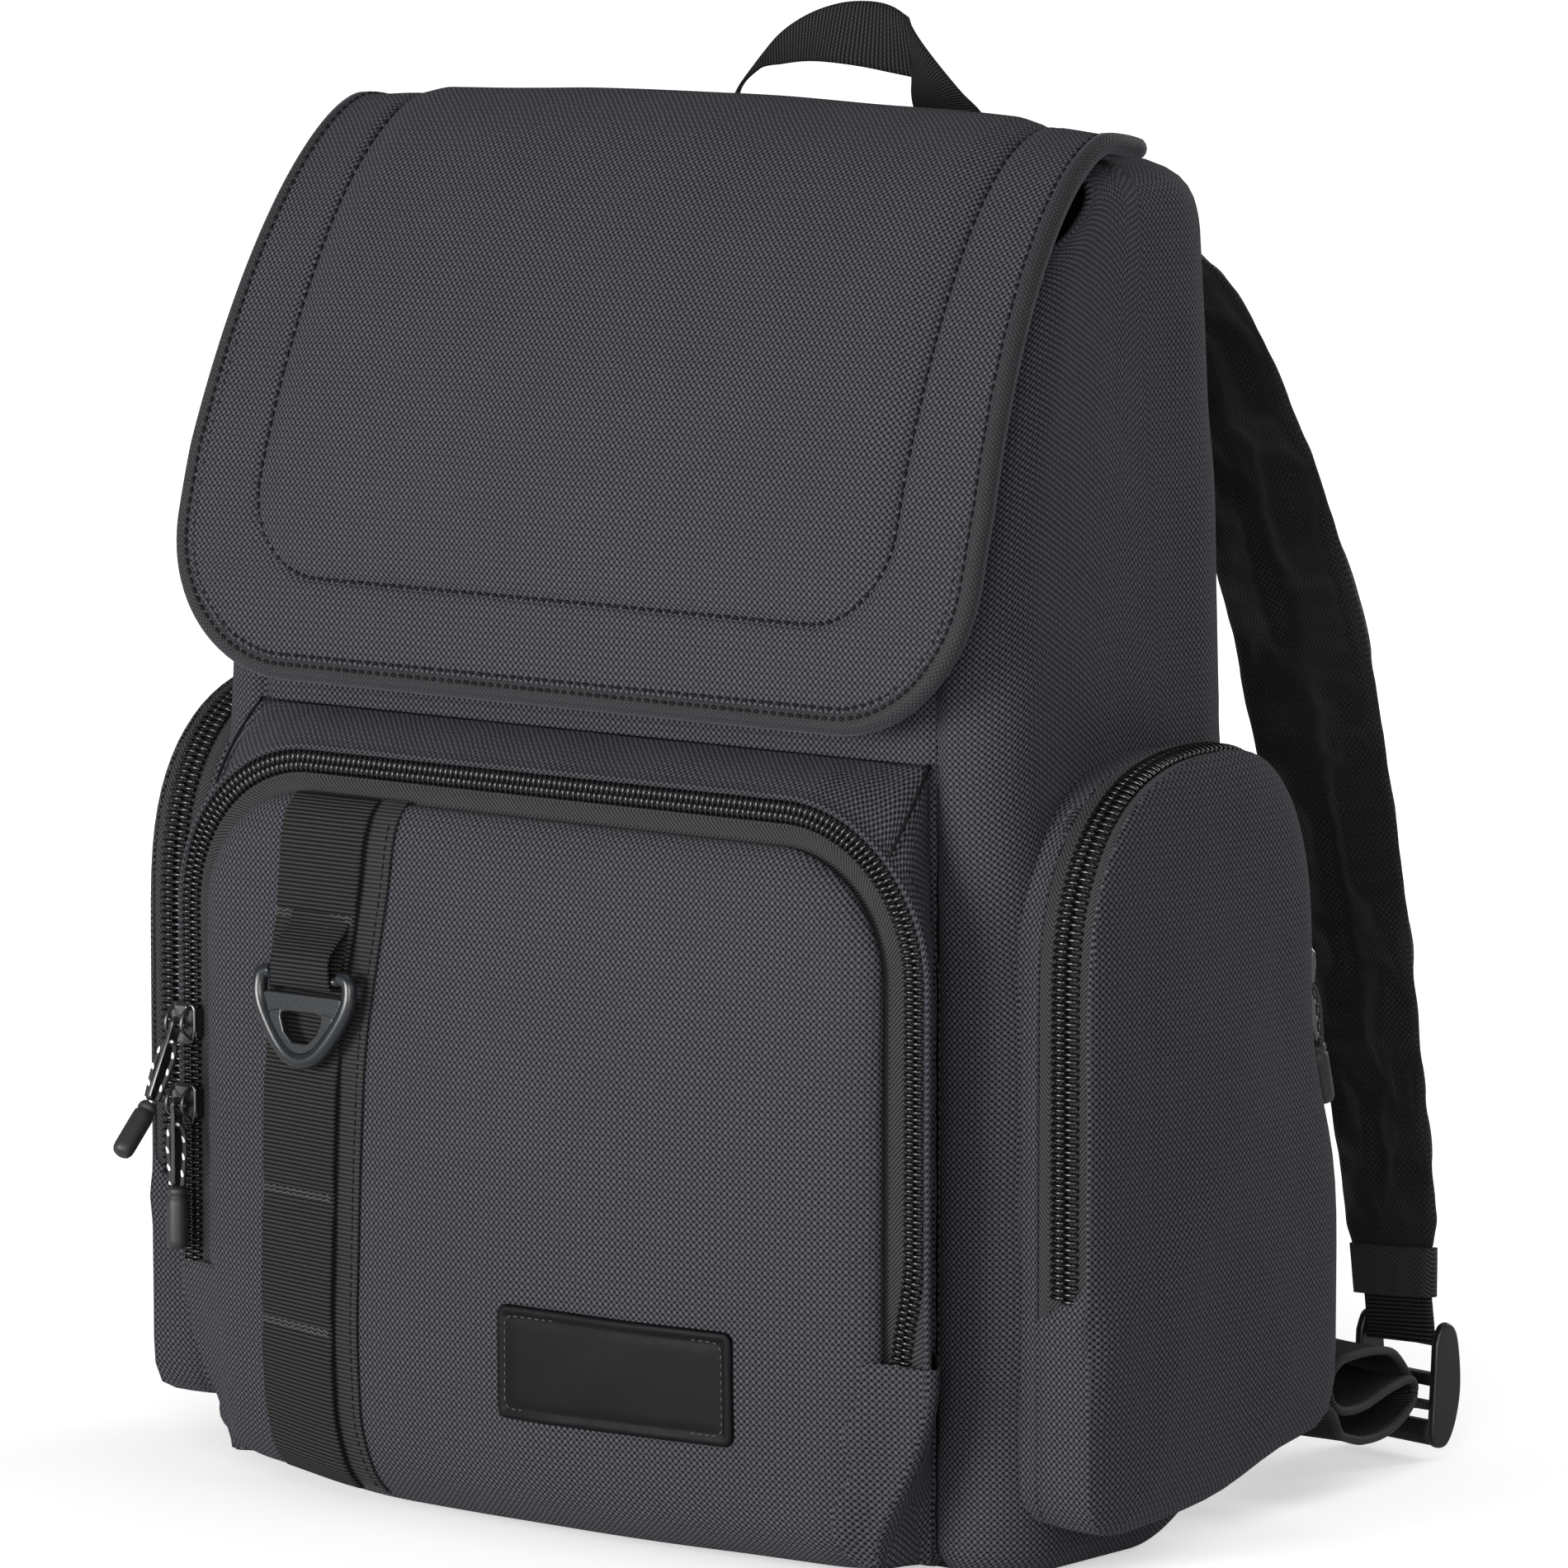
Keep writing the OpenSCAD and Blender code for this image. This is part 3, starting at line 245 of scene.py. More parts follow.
def weaveGroup():
    # Basket weave: square nubs, every second one brighter; Holes turns dark gaps into dark pits at the corners
    tree, given, result = newGroup("basketWeave", {"Cell": 1.3, "Waver": 0.3, "Contrast": 0.5, "Holes": 0.0},
                                   ("Shade", "Height"))
    slow = wire(tree, "ShaderNodeTexNoise", {"Vector": given["Vector"], "Scale": 38.0, "Detail": 2.0}, "Color")
    centred = wire(tree, "ShaderNodeVectorMath", {0: slow, 1: (0.5, 0.5, 0.5)}, operation="SUBTRACT")
    shift = scaledVector(tree, centred, given["Waver"])
    inCells = scaledVector(tree, given["Vector"], float(metre) / given["Cell"])
    x, y = axesOf(wire(tree, "ShaderNodeVectorMath", {0: inCells, 1: shift}, operation="ADD"))
    across, along = (x + y) * 0.7071, (y - x) * 0.7071
    waves = halfWave(across), halfWave(along)
    plain = (waves[0] * waves[1]) ** 0.9
    gaps = [1.0 - wave * wave for wave in waves]
    pitted = (1.0 - gaps[0] * gaps[1]) ** 2.0 * plain.times(0.4, 0.6)
    nub = (pitted - plain).times(given["Holes"], plain)
    parity = ((across.to("FLOOR") + along.to("FLOOR")) * 0.5).to("FRACT") * 2.0
    threads = (across * (4 * math.pi)).to("COSINE").times(0.07, 0.93)
    lifted = parity.times(given["Contrast"], 1.0 - given["Contrast"])
    feed(result, {"Shade": nub * lifted * threads, "Height": nub * parity.times(0.15, 0.85)})
    return tree


def ribGroup():
    # Webbing: ribs across the band, broken into threads that step from rib to rib
    tree, given, result = newGroup("ribbedWebbing", {"Pitch": 1.3, "Thread": 0.9}, ("Shade", "Height"))
    x, y = axesOf(given["Vector"])
    rib, thread = y * float(metre) / given["Pitch"], x * float(metre) / given["Thread"]
    shade = halfWave(rib) ** 2.2 * halfWave(thread + rib.to("FLOOR") * 0.5).times(0.55, 0.45)
    feed(result, {"Shade": shade, "Height": shade})
    return tree


def chevronGroup():
    # Herringbone tape: slanting ribs that meet in points along the tape
    tree, given, result = newGroup("herringbone", {"Pitch": 1.0, "Band": 5.0, "Slant": 1.2}, ("Shade", "Height"))
    x, y = axesOf(given["Vector"])
    zig = (x * float(metre) / given["Band"]).to("PINGPONG", 1.0)
    slanted = y * float(metre) + zig * given["Band"] * given["Slant"]
    shade = halfWave(slanted / given["Pitch"]) ** 1.5
    feed(result, {"Shade": shade, "Height": shade})
    return tree


def handlingGroup():
    # Slow mottling of tone, and a thin scatter of dust
    tree, given, result = newGroup("handling", {"Mottle": 0.2, "Dust": 0.3}, ("Tone", "Dust Mask", "Rough Shift"))
    broad = wire(tree, "ShaderNodeTexNoise",
                 {"Vector": given["Vector"], "Scale": 22.0, "Detail": 4.0, "Roughness": 0.55}) - 0.5
    specks = wire(tree, "ShaderNodeTexNoise", {"Vector": given["Vector"], "Scale": 950.0, "Detail": 2.0})
    sharp = wire(tree, "ShaderNodeMapRange", {"Value": specks, "From Min": 0.72, "From Max": 0.82})
    feed(result, {"Tone": broad * given["Mottle"] + 1.0, "Dust Mask": sharp * given["Dust"],
                  "Rough Shift": broad * 0.2})
    return tree


groups = {"weave": weaveGroup(), "rib": ribGroup(), "chevron": chevronGroup(), "handling": handlingGroup()}


def newMaterial(name):
    material = bpy.data.materials.new(name)
    material.use_nodes = True
    return material, material.node_tree, material.node_tree.nodes["Principled BSDF"]


def clothMaterial(name, dark, light, pattern, values, rough=0.72, lift=0.26, sheen=0.12, specular=0.3, byPlace=None):
    # Cloth of any kind: a pattern on the piece's own map, or on Object coordinates turned by byPlace
    material, tree, shader = newMaterial(name)
    place = wire(tree, "ShaderNodeTexCoord", key="Object")
    layout = (wire(tree, "ShaderNodeMapping", {"Vector": place, "Rotation": byPlace}) if byPlace
              else wire(tree, "ShaderNodeUVMap", uv_map="cloth"))
    cloth = makeNode(tree, "ShaderNodeGroup", {"Vector": layout, **values}, node_tree=groups[pattern])
    wear = makeNode(tree, "ShaderNodeGroup", {"Vector": place, "Mottle": 0.22, "Dust": 0.12},
                    node_tree=groups["handling"])
    woven = mixedColour(tree, Wire(cloth, "Shade"), (*dark, 1), (*light, 1))
    toned = scaledVector(tree, woven, Wire(wear, "Tone"))
    relief = {"Height": Wire(cloth, "Height"), "Strength": 0.75, "Distance": lift / metre}
    feed(shader, {"Base Color": mixedColour(tree, Wire(wear, "Dust Mask"), toned, (0.16, 0.16, 0.16, 1)),
                  "Roughness": Wire(wear, "Rough Shift") + rough, "Normal": wire(tree, "ShaderNodeBump", relief),
                  "Specular IOR Level": specular, "Sheen Weight": sheen, "Sheen Roughness": 0.45,
                  "Sheen Tint": (0.75, 0.78, 0.9, 1)})
    return material


def hardMaterial(name, colour, rough, grain, grainLift, metallic=0.0, mottle=0.15, specular=0.5):
    material, tree, shader = newMaterial(name)
    place = wire(tree, "ShaderNodeTexCoord", key="Object")
    wear = makeNode(tree, "ShaderNodeGroup", {"Vector": place, "Mottle": mottle, "Dust": 0.05},
                    node_tree=groups["handling"])
    fine = wire(tree, "ShaderNodeTexNoise", {"Vector": place, "Scale": grain, "Detail": 3.0})
    relief = {"Height": fine, "Strength": 0.5, "Distance": grainLift / metre}
    feed(shader, {"Base Color": scaledVector(tree, colour, Wire(wear, "Tone")),
                  "Roughness": (fine - 0.5) * 0.16 + rough + Wire(wear, "Rough Shift") * 0.6,
                  "Normal": wire(tree, "ShaderNodeBump", relief), "Metallic": metallic,
                  "Specular IOR Level": specular})
    return material


def cordMaterial(name, fleckRun):
    # Black braid with pale flecks staggered round it
    material, tree, shader = newMaterial(name)
    x, y = axesOf(wire(tree, "ShaderNodeUVMap", uv_map="cloth"))
    turn, run = x * float(metre), y * (2 * math.pi / fleckRun)
    flecks = (run + turn).to("SINE") * 0.6 + (turn * 2.0).to("COSINE") * 0.4
    mask = wire(tree, "ShaderNodeMapRange", {"Value": flecks, "From Min": 0.62, "From Max": 0.72})
    braid = (run * 5.0 + turn * 3.0).to("SINE") * (run * 5.0 - turn * 3.0).to("SINE")
    relief = {"Height": braid, "Strength": 0.6, "Distance": 0.00012}
    feed(shader, {"Base Color": mixedColour(tree, mask, (0.008, 0.008, 0.008, 1), (0.75, 0.75, 0.75, 1)),
                  "Normal": wire(tree, "ShaderNodeBump", relief), "Roughness": 0.55})
    return material


def grey(level): return (level, level, level)


materials = {
    "body": clothMaterial("charcoalWeave", (0.0008, 0.0008, 0.0011), (0.079, 0.0765, 0.091), "weave",
                          {"Cell": 1.5, "Waver": 1.0, "Contrast": 0.26, "Holes": 1.0},
                          lift=0.5, sheen=0.03, specular=0.12),
    "strap": clothMaterial("strapWeave", grey(0.0004), (0.017, 0.017, 0.0175), "weave",
                           {"Cell": 1.4, "Waver": 0.8, "Contrast": 0.25}, lift=0.4, sheen=0.08, specular=0.28),
    "binding": clothMaterial("bindingWeave", (0.002, 0.002, 0.0024), (0.029, 0.028, 0.033), "weave",
                             {"Cell": 1.1, "Waver": 0.5, "Contrast": 0.25, "Holes": 0.8}),
    "webbing": clothMaterial("blackWebbing", grey(0.0002), (0.044, 0.044, 0.042), "rib",
                             {"Pitch": 1.35, "Thread": 0.9}, lift=0.6, sheen=0.01, specular=0.12),
    "tape": clothMaterial("zipTape", grey(0.0004), grey(0.036), "chevron",
                          {"Pitch": 1.6, "Band": 5.0, "Slant": 1.1}, lift=0.35, sheen=0.06, specular=0.25),
    "selvedge": clothMaterial("ribbedSelvedge", grey(0.0002), grey(0.036), "rib",
                              {"Pitch": 1.35, "Thread": 1.3}, lift=0.25, sheen=0.05, specular=0.25),
    "lining": clothMaterial("greyLining", (0.05, 0.05, 0.055), (0.11, 0.11, 0.12), "weave",
                            {"Cell": 0.7, "Waver": 0.3, "Contrast": 0.25}, rough=0.6, lift=0.06),
    "mesh": clothMaterial("spacerMesh", grey(0.0015), (0.02, 0.02, 0.021), "weave",
                          {"Cell": 2.6, "Waver": 0.2, "Contrast": 0.1}, lift=0.7, byPlace=(math.pi / 2, 0, 0)),
    "cord": cordMaterial("fleckedCord", 0.0056),
}
hardSetup = [
    # key, name, colour, roughness, scale and height of the grain, the rest
    ("thread", "sewingThread", (0.002, 0.002, 0.0025), 0.7, 2500, 0.05, {"specular": 0.2}),
    ("tack", "tackThread", grey(0.03), 0.55, 2500, 0.05, {}),
    ("coil", "coilPlastic", grey(0.0035), 0.2, 900, 0.01, {"mottle": 0.05}),
    ("plastic", "slatePlastic", (0.010, 0.012, 0.0145), 0.27, 1500, 0.02, {}),
    ("lock", "lockPlastic", (0.009, 0.009, 0.011), 0.36, 1200, 0.02, {}),
    ("gunmetal", "gunmetal", grey(0.13), 0.34, 700, 0.01, {"metallic": 1.0}),
    ("steel", "brightSteel", grey(0.62), 0.22, 700, 0.01, {"metallic": 1.0}),
    ("rubber", "gripRubber", (0.014, 0.014, 0.016), 0.52, 1500, 0.03, {}),
    ("patch", "rubberPatch", (0.0018, 0.0018, 0.0024), 0.55, 600, 0.05, {"mottle": 0.3, "specular": 0.12}),
    ("board", "stiffBoard", grey(0.05), 0.8, 300, 0.1, {}),
]
for key, name, colour, rough, grain, grainLift, rest in hardSetup:
    materials[key] = hardMaterial(name, colour, rough, grain, grainLift, **rest)

# White to the eye, and a weaker light for the object
world = bpy.data.worlds.new("studio")
bpy.context.scene.world = world
world.use_nodes = True
ray = makeNode(world.node_tree, "ShaderNodeLightPath")
seen = Wire(ray, "Is Camera Ray").to("MAXIMUM", Wire(ray, "Is Transmission Ray"))
level = wire(world.node_tree, "ShaderNodeMapRange", {"Value": seen, "To Min": 0.2, "To Max": 1.0})
feed(world.node_tree.nodes["Background"], {"Color": (1, 1, 1, 1), "Strength": level})
print("materials made")


# Meshes

inside = Vector((0, 0, 200))
rootPieces = []


def newMesh(name, verts, faces, uvs=None):
    mesh = bpy.data.meshes.new(name)
    mesh.from_pydata([Vector(v) / metre for v in verts], [], faces)
    if uvs:
        layer = mesh.uv_layers.new(name="cloth")
        layer.data.foreach_set("uv", [c for loop in mesh.loops for c in uvs[loop.vertex_index]])
    mesh.polygons.foreach_set("use_smooth", [True] * len(mesh.polygons))
    mesh.update()
    return mesh


def placePiece(name, mesh, material, body="root", replaces=(), slot=None):
    piece = newObject(name, mesh)
    if body == "root":
        rootPieces.append(piece)
    for item in (material if isinstance(material, list) else [material]):
        mesh.materials.append(materials[item])
    if body == "flap_body":
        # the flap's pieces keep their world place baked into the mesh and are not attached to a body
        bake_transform(piece)
    else:
        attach(piece, body)
    if replaces:
        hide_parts(*replaces)
    return piece


def quads(m, n, closed=True):
    # faces between m rows of n points
    return [[i * n + j, i * n + (j + 1) % n, (i + 1) * n + (j + 1) % n, (i + 1) * n + j]
            for i in range(m - 1) for j in range(n if closed else n - 1)]


def fixNormals(mesh):
    bm = bmesh.new()
    bm.from_mesh(mesh)
    bmesh.ops.remove_doubles(bm, verts=bm.verts, dist=1e-6)
    bmesh.ops.recalc_face_normals(bm, faces=bm.faces)
    bm.to_mesh(mesh)
    bm.free()


def ringMesh(name, rows, uvs=None, ends=None):
    # Closed solid from rings of points, with a face over each end unless ends are given
    m, n = len(rows), len(rows[0])
    if ends is None:
        ends = [list(range(n - 1, -1, -1)), list(range((m - 1) * n, m * n))]
    mesh = newMesh(name, [p for row in rows for p in row], quads(m, n) + ends, uvs)
    fixNormals(mesh)
    return mesh


def gridNormals(rows, closed):
    m, n = len(rows), len(rows[0])
    out = []
    for i in range(m):
        line = []
        for j in range(n):
            before, after = ((j - 1) % n, (j + 1) % n) if closed else (max(j - 1, 0), min(j + 1, n - 1))
            normal = (rows[i][after] - rows[i][before]).cross(rows[min(i + 1, m - 1)][j] - rows[max(i - 1, 0)][j])
            line.append(normal.normalized() if normal.length > 1e-9 else Vector((0, 0, 0)))
        out.append(line)
    return out


def looksOut(rows, normals, core):
    return sum(normals[i][j].dot(rows[i][j] - core)
               for i in range(0, len(rows), 3) for j in range(0, len(rows[0]), 3)) >= 0


def raised(rows, height, core=inside, closed=False):
    # The grid with every point moved out by height(i, j, point)
    rows = [[Vector(p) for p in row] for row in rows]
    normals = gridNormals(rows, closed)
    sign = 1 if looksOut(rows, normals, core) else -1
    return [[p + normals[i][j] * (sign * height(i, j, p)) for j, p in enumerate(row)] for i, row in enumerate(rows)]


def runFrom(points, start):
    # the length along the points, counted both ways from one of them
    out = [0.0] * len(points)
    for i in range(start + 1, len(points)):
        out[i] = out[i - 1] + (points[i] - points[i - 1]).length
    for i in range(start - 1, -1, -1):
        out[i] = out[i + 1] - (points[i] - points[i + 1]).length
    return out


def gridPiece(name, rows, material, wall=0.0, core=inside, closed=False, closeEnd=False, **placing):
    # An open sheet from rows of points, its outer face away from core, and wall thick
    rows = [[Vector(p) for p in row] for row in rows]
    m, n = len(rows), len(rows[0])
    flip = not looksOut(rows, gridNormals(rows, closed), core)
    up = runFrom([row[n // 2] for row in rows], m // 2)
    uvs = [(u / metre, v / metre) for row, v in zip(rows, up) for u in runFrom(row, n // 2)]
    faces = quads(m, n, closed) + ([list(range((m - 1) * n, m * n))] if closeEnd else [])
    mesh = newMesh(name, [p for row in rows for p in row], [f[::-1] for f in faces] if flip else faces, uvs)
    piece = placePiece(name, mesh, material, **placing)
    if wall:
        thick = piece.modifiers.new("wall", "SOLIDIFY")
        thick.thickness = wall / metre
        thick.offset = -1
        thick.use_even_offset = False
        thick.material_offset = len(mesh.materials) - 1
    return piece


def closedStrip(name, rows, material, **placing):
    # Solid from rings of points, its map laid along and around it
    around = runFrom(rows[len(rows) // 2], 0)
    along = runFrom([row[0] for row in rows], 0)
    uvs = [(u / metre, v / metre) for v in along for u in around]
    return placePiece(name, ringMesh(name, rows, uvs), material, **placing)


def bandProfile(width, thick, bulge=0.0, steps=12):
    half, t = width / 2, thick / 2
    topSide = [(mix(-half + t * 0.5, half - t * 0.5, k / steps),
                t + bulge * (1 - (2 * k / steps - 1) ** 2)) for k in range(steps + 1)]
    lowSide = [(a, -t) for a, o in reversed(topSide)]
    return topSide + [(half, t * 0.4), (half, -t * 0.4)] + lowSide + [(-half, -t * 0.4), (-half, t * 0.4)]


def bandMesh(name, path, acrosses, widths, thick, bulge=0.0, steps=12):
    # Flat band along a path; acrosses gives the direction across it at each point
    pts = [Vector(p) for p in path]
    rows, uvs = [], []
    for p, t, side, width, length in zip(pts, tangents(pts), acrosses, widths, runFrom(pts, 0)):
        facing = t.cross(Vector(side)).normalized()
        across = facing.cross(t).normalized()
        profile = bandProfile(width, thick, bulge, steps)
        rows.append([p + across * a + facing * o for a, o in profile])
        uvs += [(a / metre, length / metre) for a, o in profile]
    return ringMesh(name, rows, uvs)


def tubeMesh(name, path, radii, count=10, start=Vector((0, 0, 1))):
    # Round bar along a path; radii is one number or one for each point
    pts = [Vector(p) for p in path]
    ts = tangents(pts)
    radii = radii if isinstance(radii, list) else [radii] * len(pts)
    ref = start if abs(ts[0].dot(start)) < 0.9 else Vector((1, 0, 0))
    rows, uvs = [], []
    for p, t, r, length in zip(pts, ts, radii, runFrom(pts, 0)):
        ref = (ref - t * ref.dot(t)).normalized()
        other = t.cross(ref)
        rows.append([p + ref * (r * c) + other * (r * s) for c, s in circle(count)])
        uvs += [(k / count * 2 * math.pi * r / metre, length / metre) for k in range(count)]
    return ringMesh(name, rows, uvs)


def polyPlate(outline, low, high, bevel, holes=(), segments=3):
    # Flat plate in the X-Z plane with rounded edges, from y = low to y = high
    low, high, bevel = low / metre, high / metre, bevel / metre
    curve = bpy.data.curves.new("plateOutline", "CURVE")
    curve.dimensions = "2D"
    curve.fill_mode = "BOTH"
    for ring in [outline, *holes]:
        spline = curve.splines.new("POLY")
        spline.points.add(len(ring) - 1)
        for point, (x, z) in zip(spline.points, ring):
            point.co = (x / metre, z / metre, 0, 1)
        spline.use_cyclic_u = True
    curve.extrude = (high - low) / 2 - bevel
    curve.bevel_depth = bevel
    curve.offset = -bevel
    curve.bevel_resolution = segments
    mesh = evaluatedMesh(newObject("plateOutline", curve))
    mesh.materials.clear()
    bpy.data.curves.remove(curve)
    mesh.transform(Matrix.Translation((0, (low + high) / 2, 0)) @ turned(90))
    return mesh


def roundedRing(points, radius, steps=6):
    # Closed outline with each corner rounded
    out = []
    for i, point in enumerate(points):
        a, b, c = Vector(points[i - 1]), Vector(point), Vector(points[(i + 1) % len(points)])
        u, v = (a - b).normalized(), (c - b).normalized()
        half = math.acos(max(-1, min(1, u.dot(v)))) / 2
        cut = min(radius / max(0.05, math.tan(half)), (a - b).length * 0.48, (c - b).length * 0.48)
        p, q = b + u * cut, b + v * cut
        for t in [k / steps for k in range(steps + 1)]:
            out.append(tuple((1 - t) ** 2 * p + 2 * t * (1 - t) * b + t * t * q))
    return out


def joined(meshes, name):
    bm = bmesh.new()
    for mesh in meshes:
        bm.from_mesh(mesh)
    out = bpy.data.meshes.new(name)
    bm.to_mesh(out)
    bm.free()
    out.polygons.foreach_set("use_smooth", [True] * len(out.polygons))
    return out


def movedCopy(mesh, matrix=Matrix.Identity(4), mirrored=False):
    copy = mesh.copy()
    copy.transform(matrix)
    if mirrored:
        copy.transform(Matrix.Scale(-1, 4, (1, 0, 0)))
        copy.flip_normals()
    return copy


# Stitches, teeth and tacks: a Geometry Nodes tree repeats a shape along a line

fixedSeed = 7


def repeatTree(name, shape, material, turnOdd=False, wobble=0.0):
    tree = bpy.data.node_groups.new(name, "GeometryNodeTree")
    for label, way, kind, value in (("Geometry", "INPUT", "Geometry", None), ("Spacing", "INPUT", "Float", 0.003),
                                    ("Size", "INPUT", "Vector", (1, 1, 1)), ("Seed", "INPUT", "Int", fixedSeed),
                                    ("Geometry", "OUTPUT", "Geometry", None)):
        socket = tree.interface.new_socket(label, in_out=way, socket_type="NodeSocket" + kind)
        if value is not None:
            socket.default_value = value
    source = tree.nodes.new("NodeGroupInput")
    line = wire(tree, "GeometryNodeMeshToCurve", {"Mesh": Wire(source, "Geometry")})
    points = wire(tree, "GeometryNodeResampleCurve", {"Curve": line, "Length": Wire(source, "Spacing")}, mode="LENGTH")
    facing = wire(tree, "GeometryNodeInputNamedAttribute", {"Name": "facing"}, data_type="FLOAT_VECTOR")
    lean = wire(tree, "FunctionNodeAlignRotationToVector", {"Vector": wire(tree, "GeometryNodeInputTangent")}, axis="X")
    turn = wire(tree, "FunctionNodeAlignRotationToVector", {"Rotation": lean, "Vector": facing},
                axis="Z", pivot_axis="X")
    spins = []
    if turnOdd:
        half = wire(tree, "GeometryNodeInputIndex").to("MODULO", 2.0) * math.pi
        spins.append(wire(tree, "ShaderNodeCombineXYZ", {"Z": half}))
    if wobble:
        reach = Vector((wobble * 0.3, wobble * 0.3, wobble))
        spins.append(wire(tree, "FunctionNodeRandomValue", {0: -reach, 1: reach, "Seed": Wire(source, "Seed")},
                          data_type="FLOAT_VECTOR"))
    for spin in spins:
        turn = wire(tree, "FunctionNodeRotateRotation", {"Rotation": turn, "Rotate By": spin}, rotation_space="LOCAL")
    shapeWire = wire(tree, "GeometryNodeObjectInfo", {"Object": shape}, "Geometry")
    copies = wire(tree, "GeometryNodeInstanceOnPoints", {"Points": points, "Instance": shapeWire, "Rotation": turn,
                                                         "Scale": Wire(source, "Size")})
    real = wire(tree, "GeometryNodeRealizeInstances", {"Geometry": copies})
    finish = wire(tree, "GeometryNodeSetMaterial", {"Geometry": real, "Material": material})
    feed(tree.nodes.new("NodeGroupOutput"), {0: wire(tree, "GeometryNodeSetShadeSmooth", {"Geometry": finish})})
    return tree


def repeated(name, line, facings, tree, spacing, size, material, **placing):
    # facings: the way the shapes look, one direction or one for each point of the line
    if isinstance(facings, Vector):
        facings = [facings] * len(line)
    mesh = bpy.data.meshes.new(name + "Line")
    mesh.from_pydata([Vector(p) / metre for p in line], [(k, k + 1) for k in range(len(line) - 1)], [])
    attribute = mesh.attributes.new("facing", "FLOAT_VECTOR", "POINT")
    attribute.data.foreach_set("vector", [c for f in facings for c in f])
    holder = newObject(name + "Line", mesh)
    modifier = holder.modifiers.new("repeat", "NODES")
    modifier.node_group = tree
    sockets = {item.name: item.identifier for item in tree.interface.items_tree if item.in_out == "INPUT"}
    modifier[sockets["Spacing"]] = spacing / metre
    modifier[sockets["Size"]] = size
    modifier[sockets["Seed"]] = fixedSeed
    made = evaluatedMesh(holder)
    made.name = name
    made.materials.clear()
    return placePiece(name, made, material, **placing)


def stitchShape():
    # one stitch: a lens of thread that sinks at both ends
    rows = []
    for t in [k / 2 - 1 for k in range(5)]:
        r = math.sqrt(max(0.02, 1 - t ** 4)) * 0.5 * metre
        rows.append([(t * 500, r * c, r * s - 260 * t * t) for c, s in circle(6)])
    return newObject("stitchShape", ringMesh("stitchShape", rows))


def toothShape():
    # one rung of the coil: out of the tape at the edge, over, and down at the middle
    path = [(0, -0.47, -0.25), (-0.01, -0.47, 0.12), (0, -0.4, 0.32), (0.01, -0.22, 0.42), (0.02, -0.04, 0.36),
            (0.02, 0.03, 0.1)]
    radii = (0.085, 0.092, 0.1, 0.105, 0.11, 0.112, 0.115, 0.113, 0.11, 0.1, 0.09)
    mesh = tubeMesh("toothShape", [Vector(p) * metre for p in interpolated(path, 2)], [metre * r for r in radii], 6,
                    start=Vector((1, 0, 0)))
    return newObject("toothShape", mesh)


shapes = {"stitch": stitchShape(), "tooth": toothShape()}
coilTree = repeatTree("coilTeeth", shapes["tooth"], materials["coil"], turnOdd=True)
stitchTree = repeatTree("stitchRow", shapes["stitch"], materials["thread"], wobble=0.05)
tackTree = repeatTree("tackRow", shapes["stitch"], materials["tack"], wobble=0.25)
sewing = {
    # tree, pitch, size of a stitch, material
    "flap": (stitchTree, 3.3, (0.0025, 0.0012, 0.0009), "thread"),
    "seam": (stitchTree, 3.0, (0.0021, 0.0006, 0.0005), "thread"),
    "label": (stitchTree, 2.6, (0.0018, 0.0006, 0.0005), "tack"),
    "tack": (tackTree, 0.85, (0.0011, 0.0009, 0.0008), "tack"),
}
forward = Vector((0, -1, 0))
print("node trees made")


# The main bag's panels

bag = {"width": 318, "baseWidth": 336, "height": 430, "taper": 10, "frontRadius": 22, "backRadius": 25, "wall": 2.2,
       "seamX": 135, "mouth": 392, "hingeY": 19, "seamDip": 2.2, "seamWidth": 2.6, "sideBulge": 3.0, "rows": 104,
       "backRows": 112, "yokeWall": 1.6}
cloth = ["body", "lining"]


def halfW(z):
    return (mix(bag["baseWidth"], bag["width"], smooth((z - 170) / 90)) / 2 - bag["taper"] * clamp01((z - 260) / 170)
            - roundIn((z - 416) / 14, 14) - roundIn((10 - z) / 10, 10))


def frontAt(z): return -65 + 30 * max(0.0, (z - 290) / 102) ** 1.4 + roundIn((10 - z) / 10, 10)


def backAt(z): return 65 - roundIn((z - 405) / 25, 25) - roundIn((10 - z) / 10, 10)


def mouthAt(y): return bag["mouth"] + (y + 35) * 36 / 54


def footLift(x, y, z):
    # the stuffed bag's foot rounds up off the floor at its rear corners and at its front left
    rear = 25 * smooth((y - 2) / 62) * (0.45 + 0.55 * smooth((abs(x) - 70) / 80))
    front = 7 * smooth((-x - 50) / 90) * smooth((-y - 20) / 60)
    return (rear + front) * (1 - smooth(z / 95)) ** 1.3


def levelAt(i, n, top):
    # height of row i of n: close together round the foot, then nearly even
    low = [0.5, 1.2, 2.2, 3.6, 5.4, 7.6, 10, 13]
    if i < len(low):
        return low[i]
    t = (i - len(low) + 1) / (n - len(low))
    return mix(low[-1], top, 1 - (1 - t) ** 1.15)


def sideColumn(kind, t, z):
    # where a column of the side panel stands: round the front corner, back in two runs, round the rear corner
    w, f, b = halfW(z), frontAt(z), backAt(z)
    rf = max(0.2, min(bag["frontRadius"], w - bag["seamX"] - 0.3))
    rb = bag["backRadius"]
    split = min(bag["hingeY"], b - rb - 1)
    if kind == "front" and t < 0.25:
        return mix(bag["seamX"], w - rf, clamp01(t / 0.25)), f
    if kind == "front":
        c, s = cosSin(-90 + 90 * clamp01((t - 0.25) / 0.75))
        return w - rf + rf * c, f + rf + rf * s
    if kind == "rear":
        c, s = cosSin(90 * t)
        return w - rb + rb * c, b - rb + rb * s
    return w, (mix(f + rf, split, t) if kind == "toHinge" else mix(split, b - rb, t))


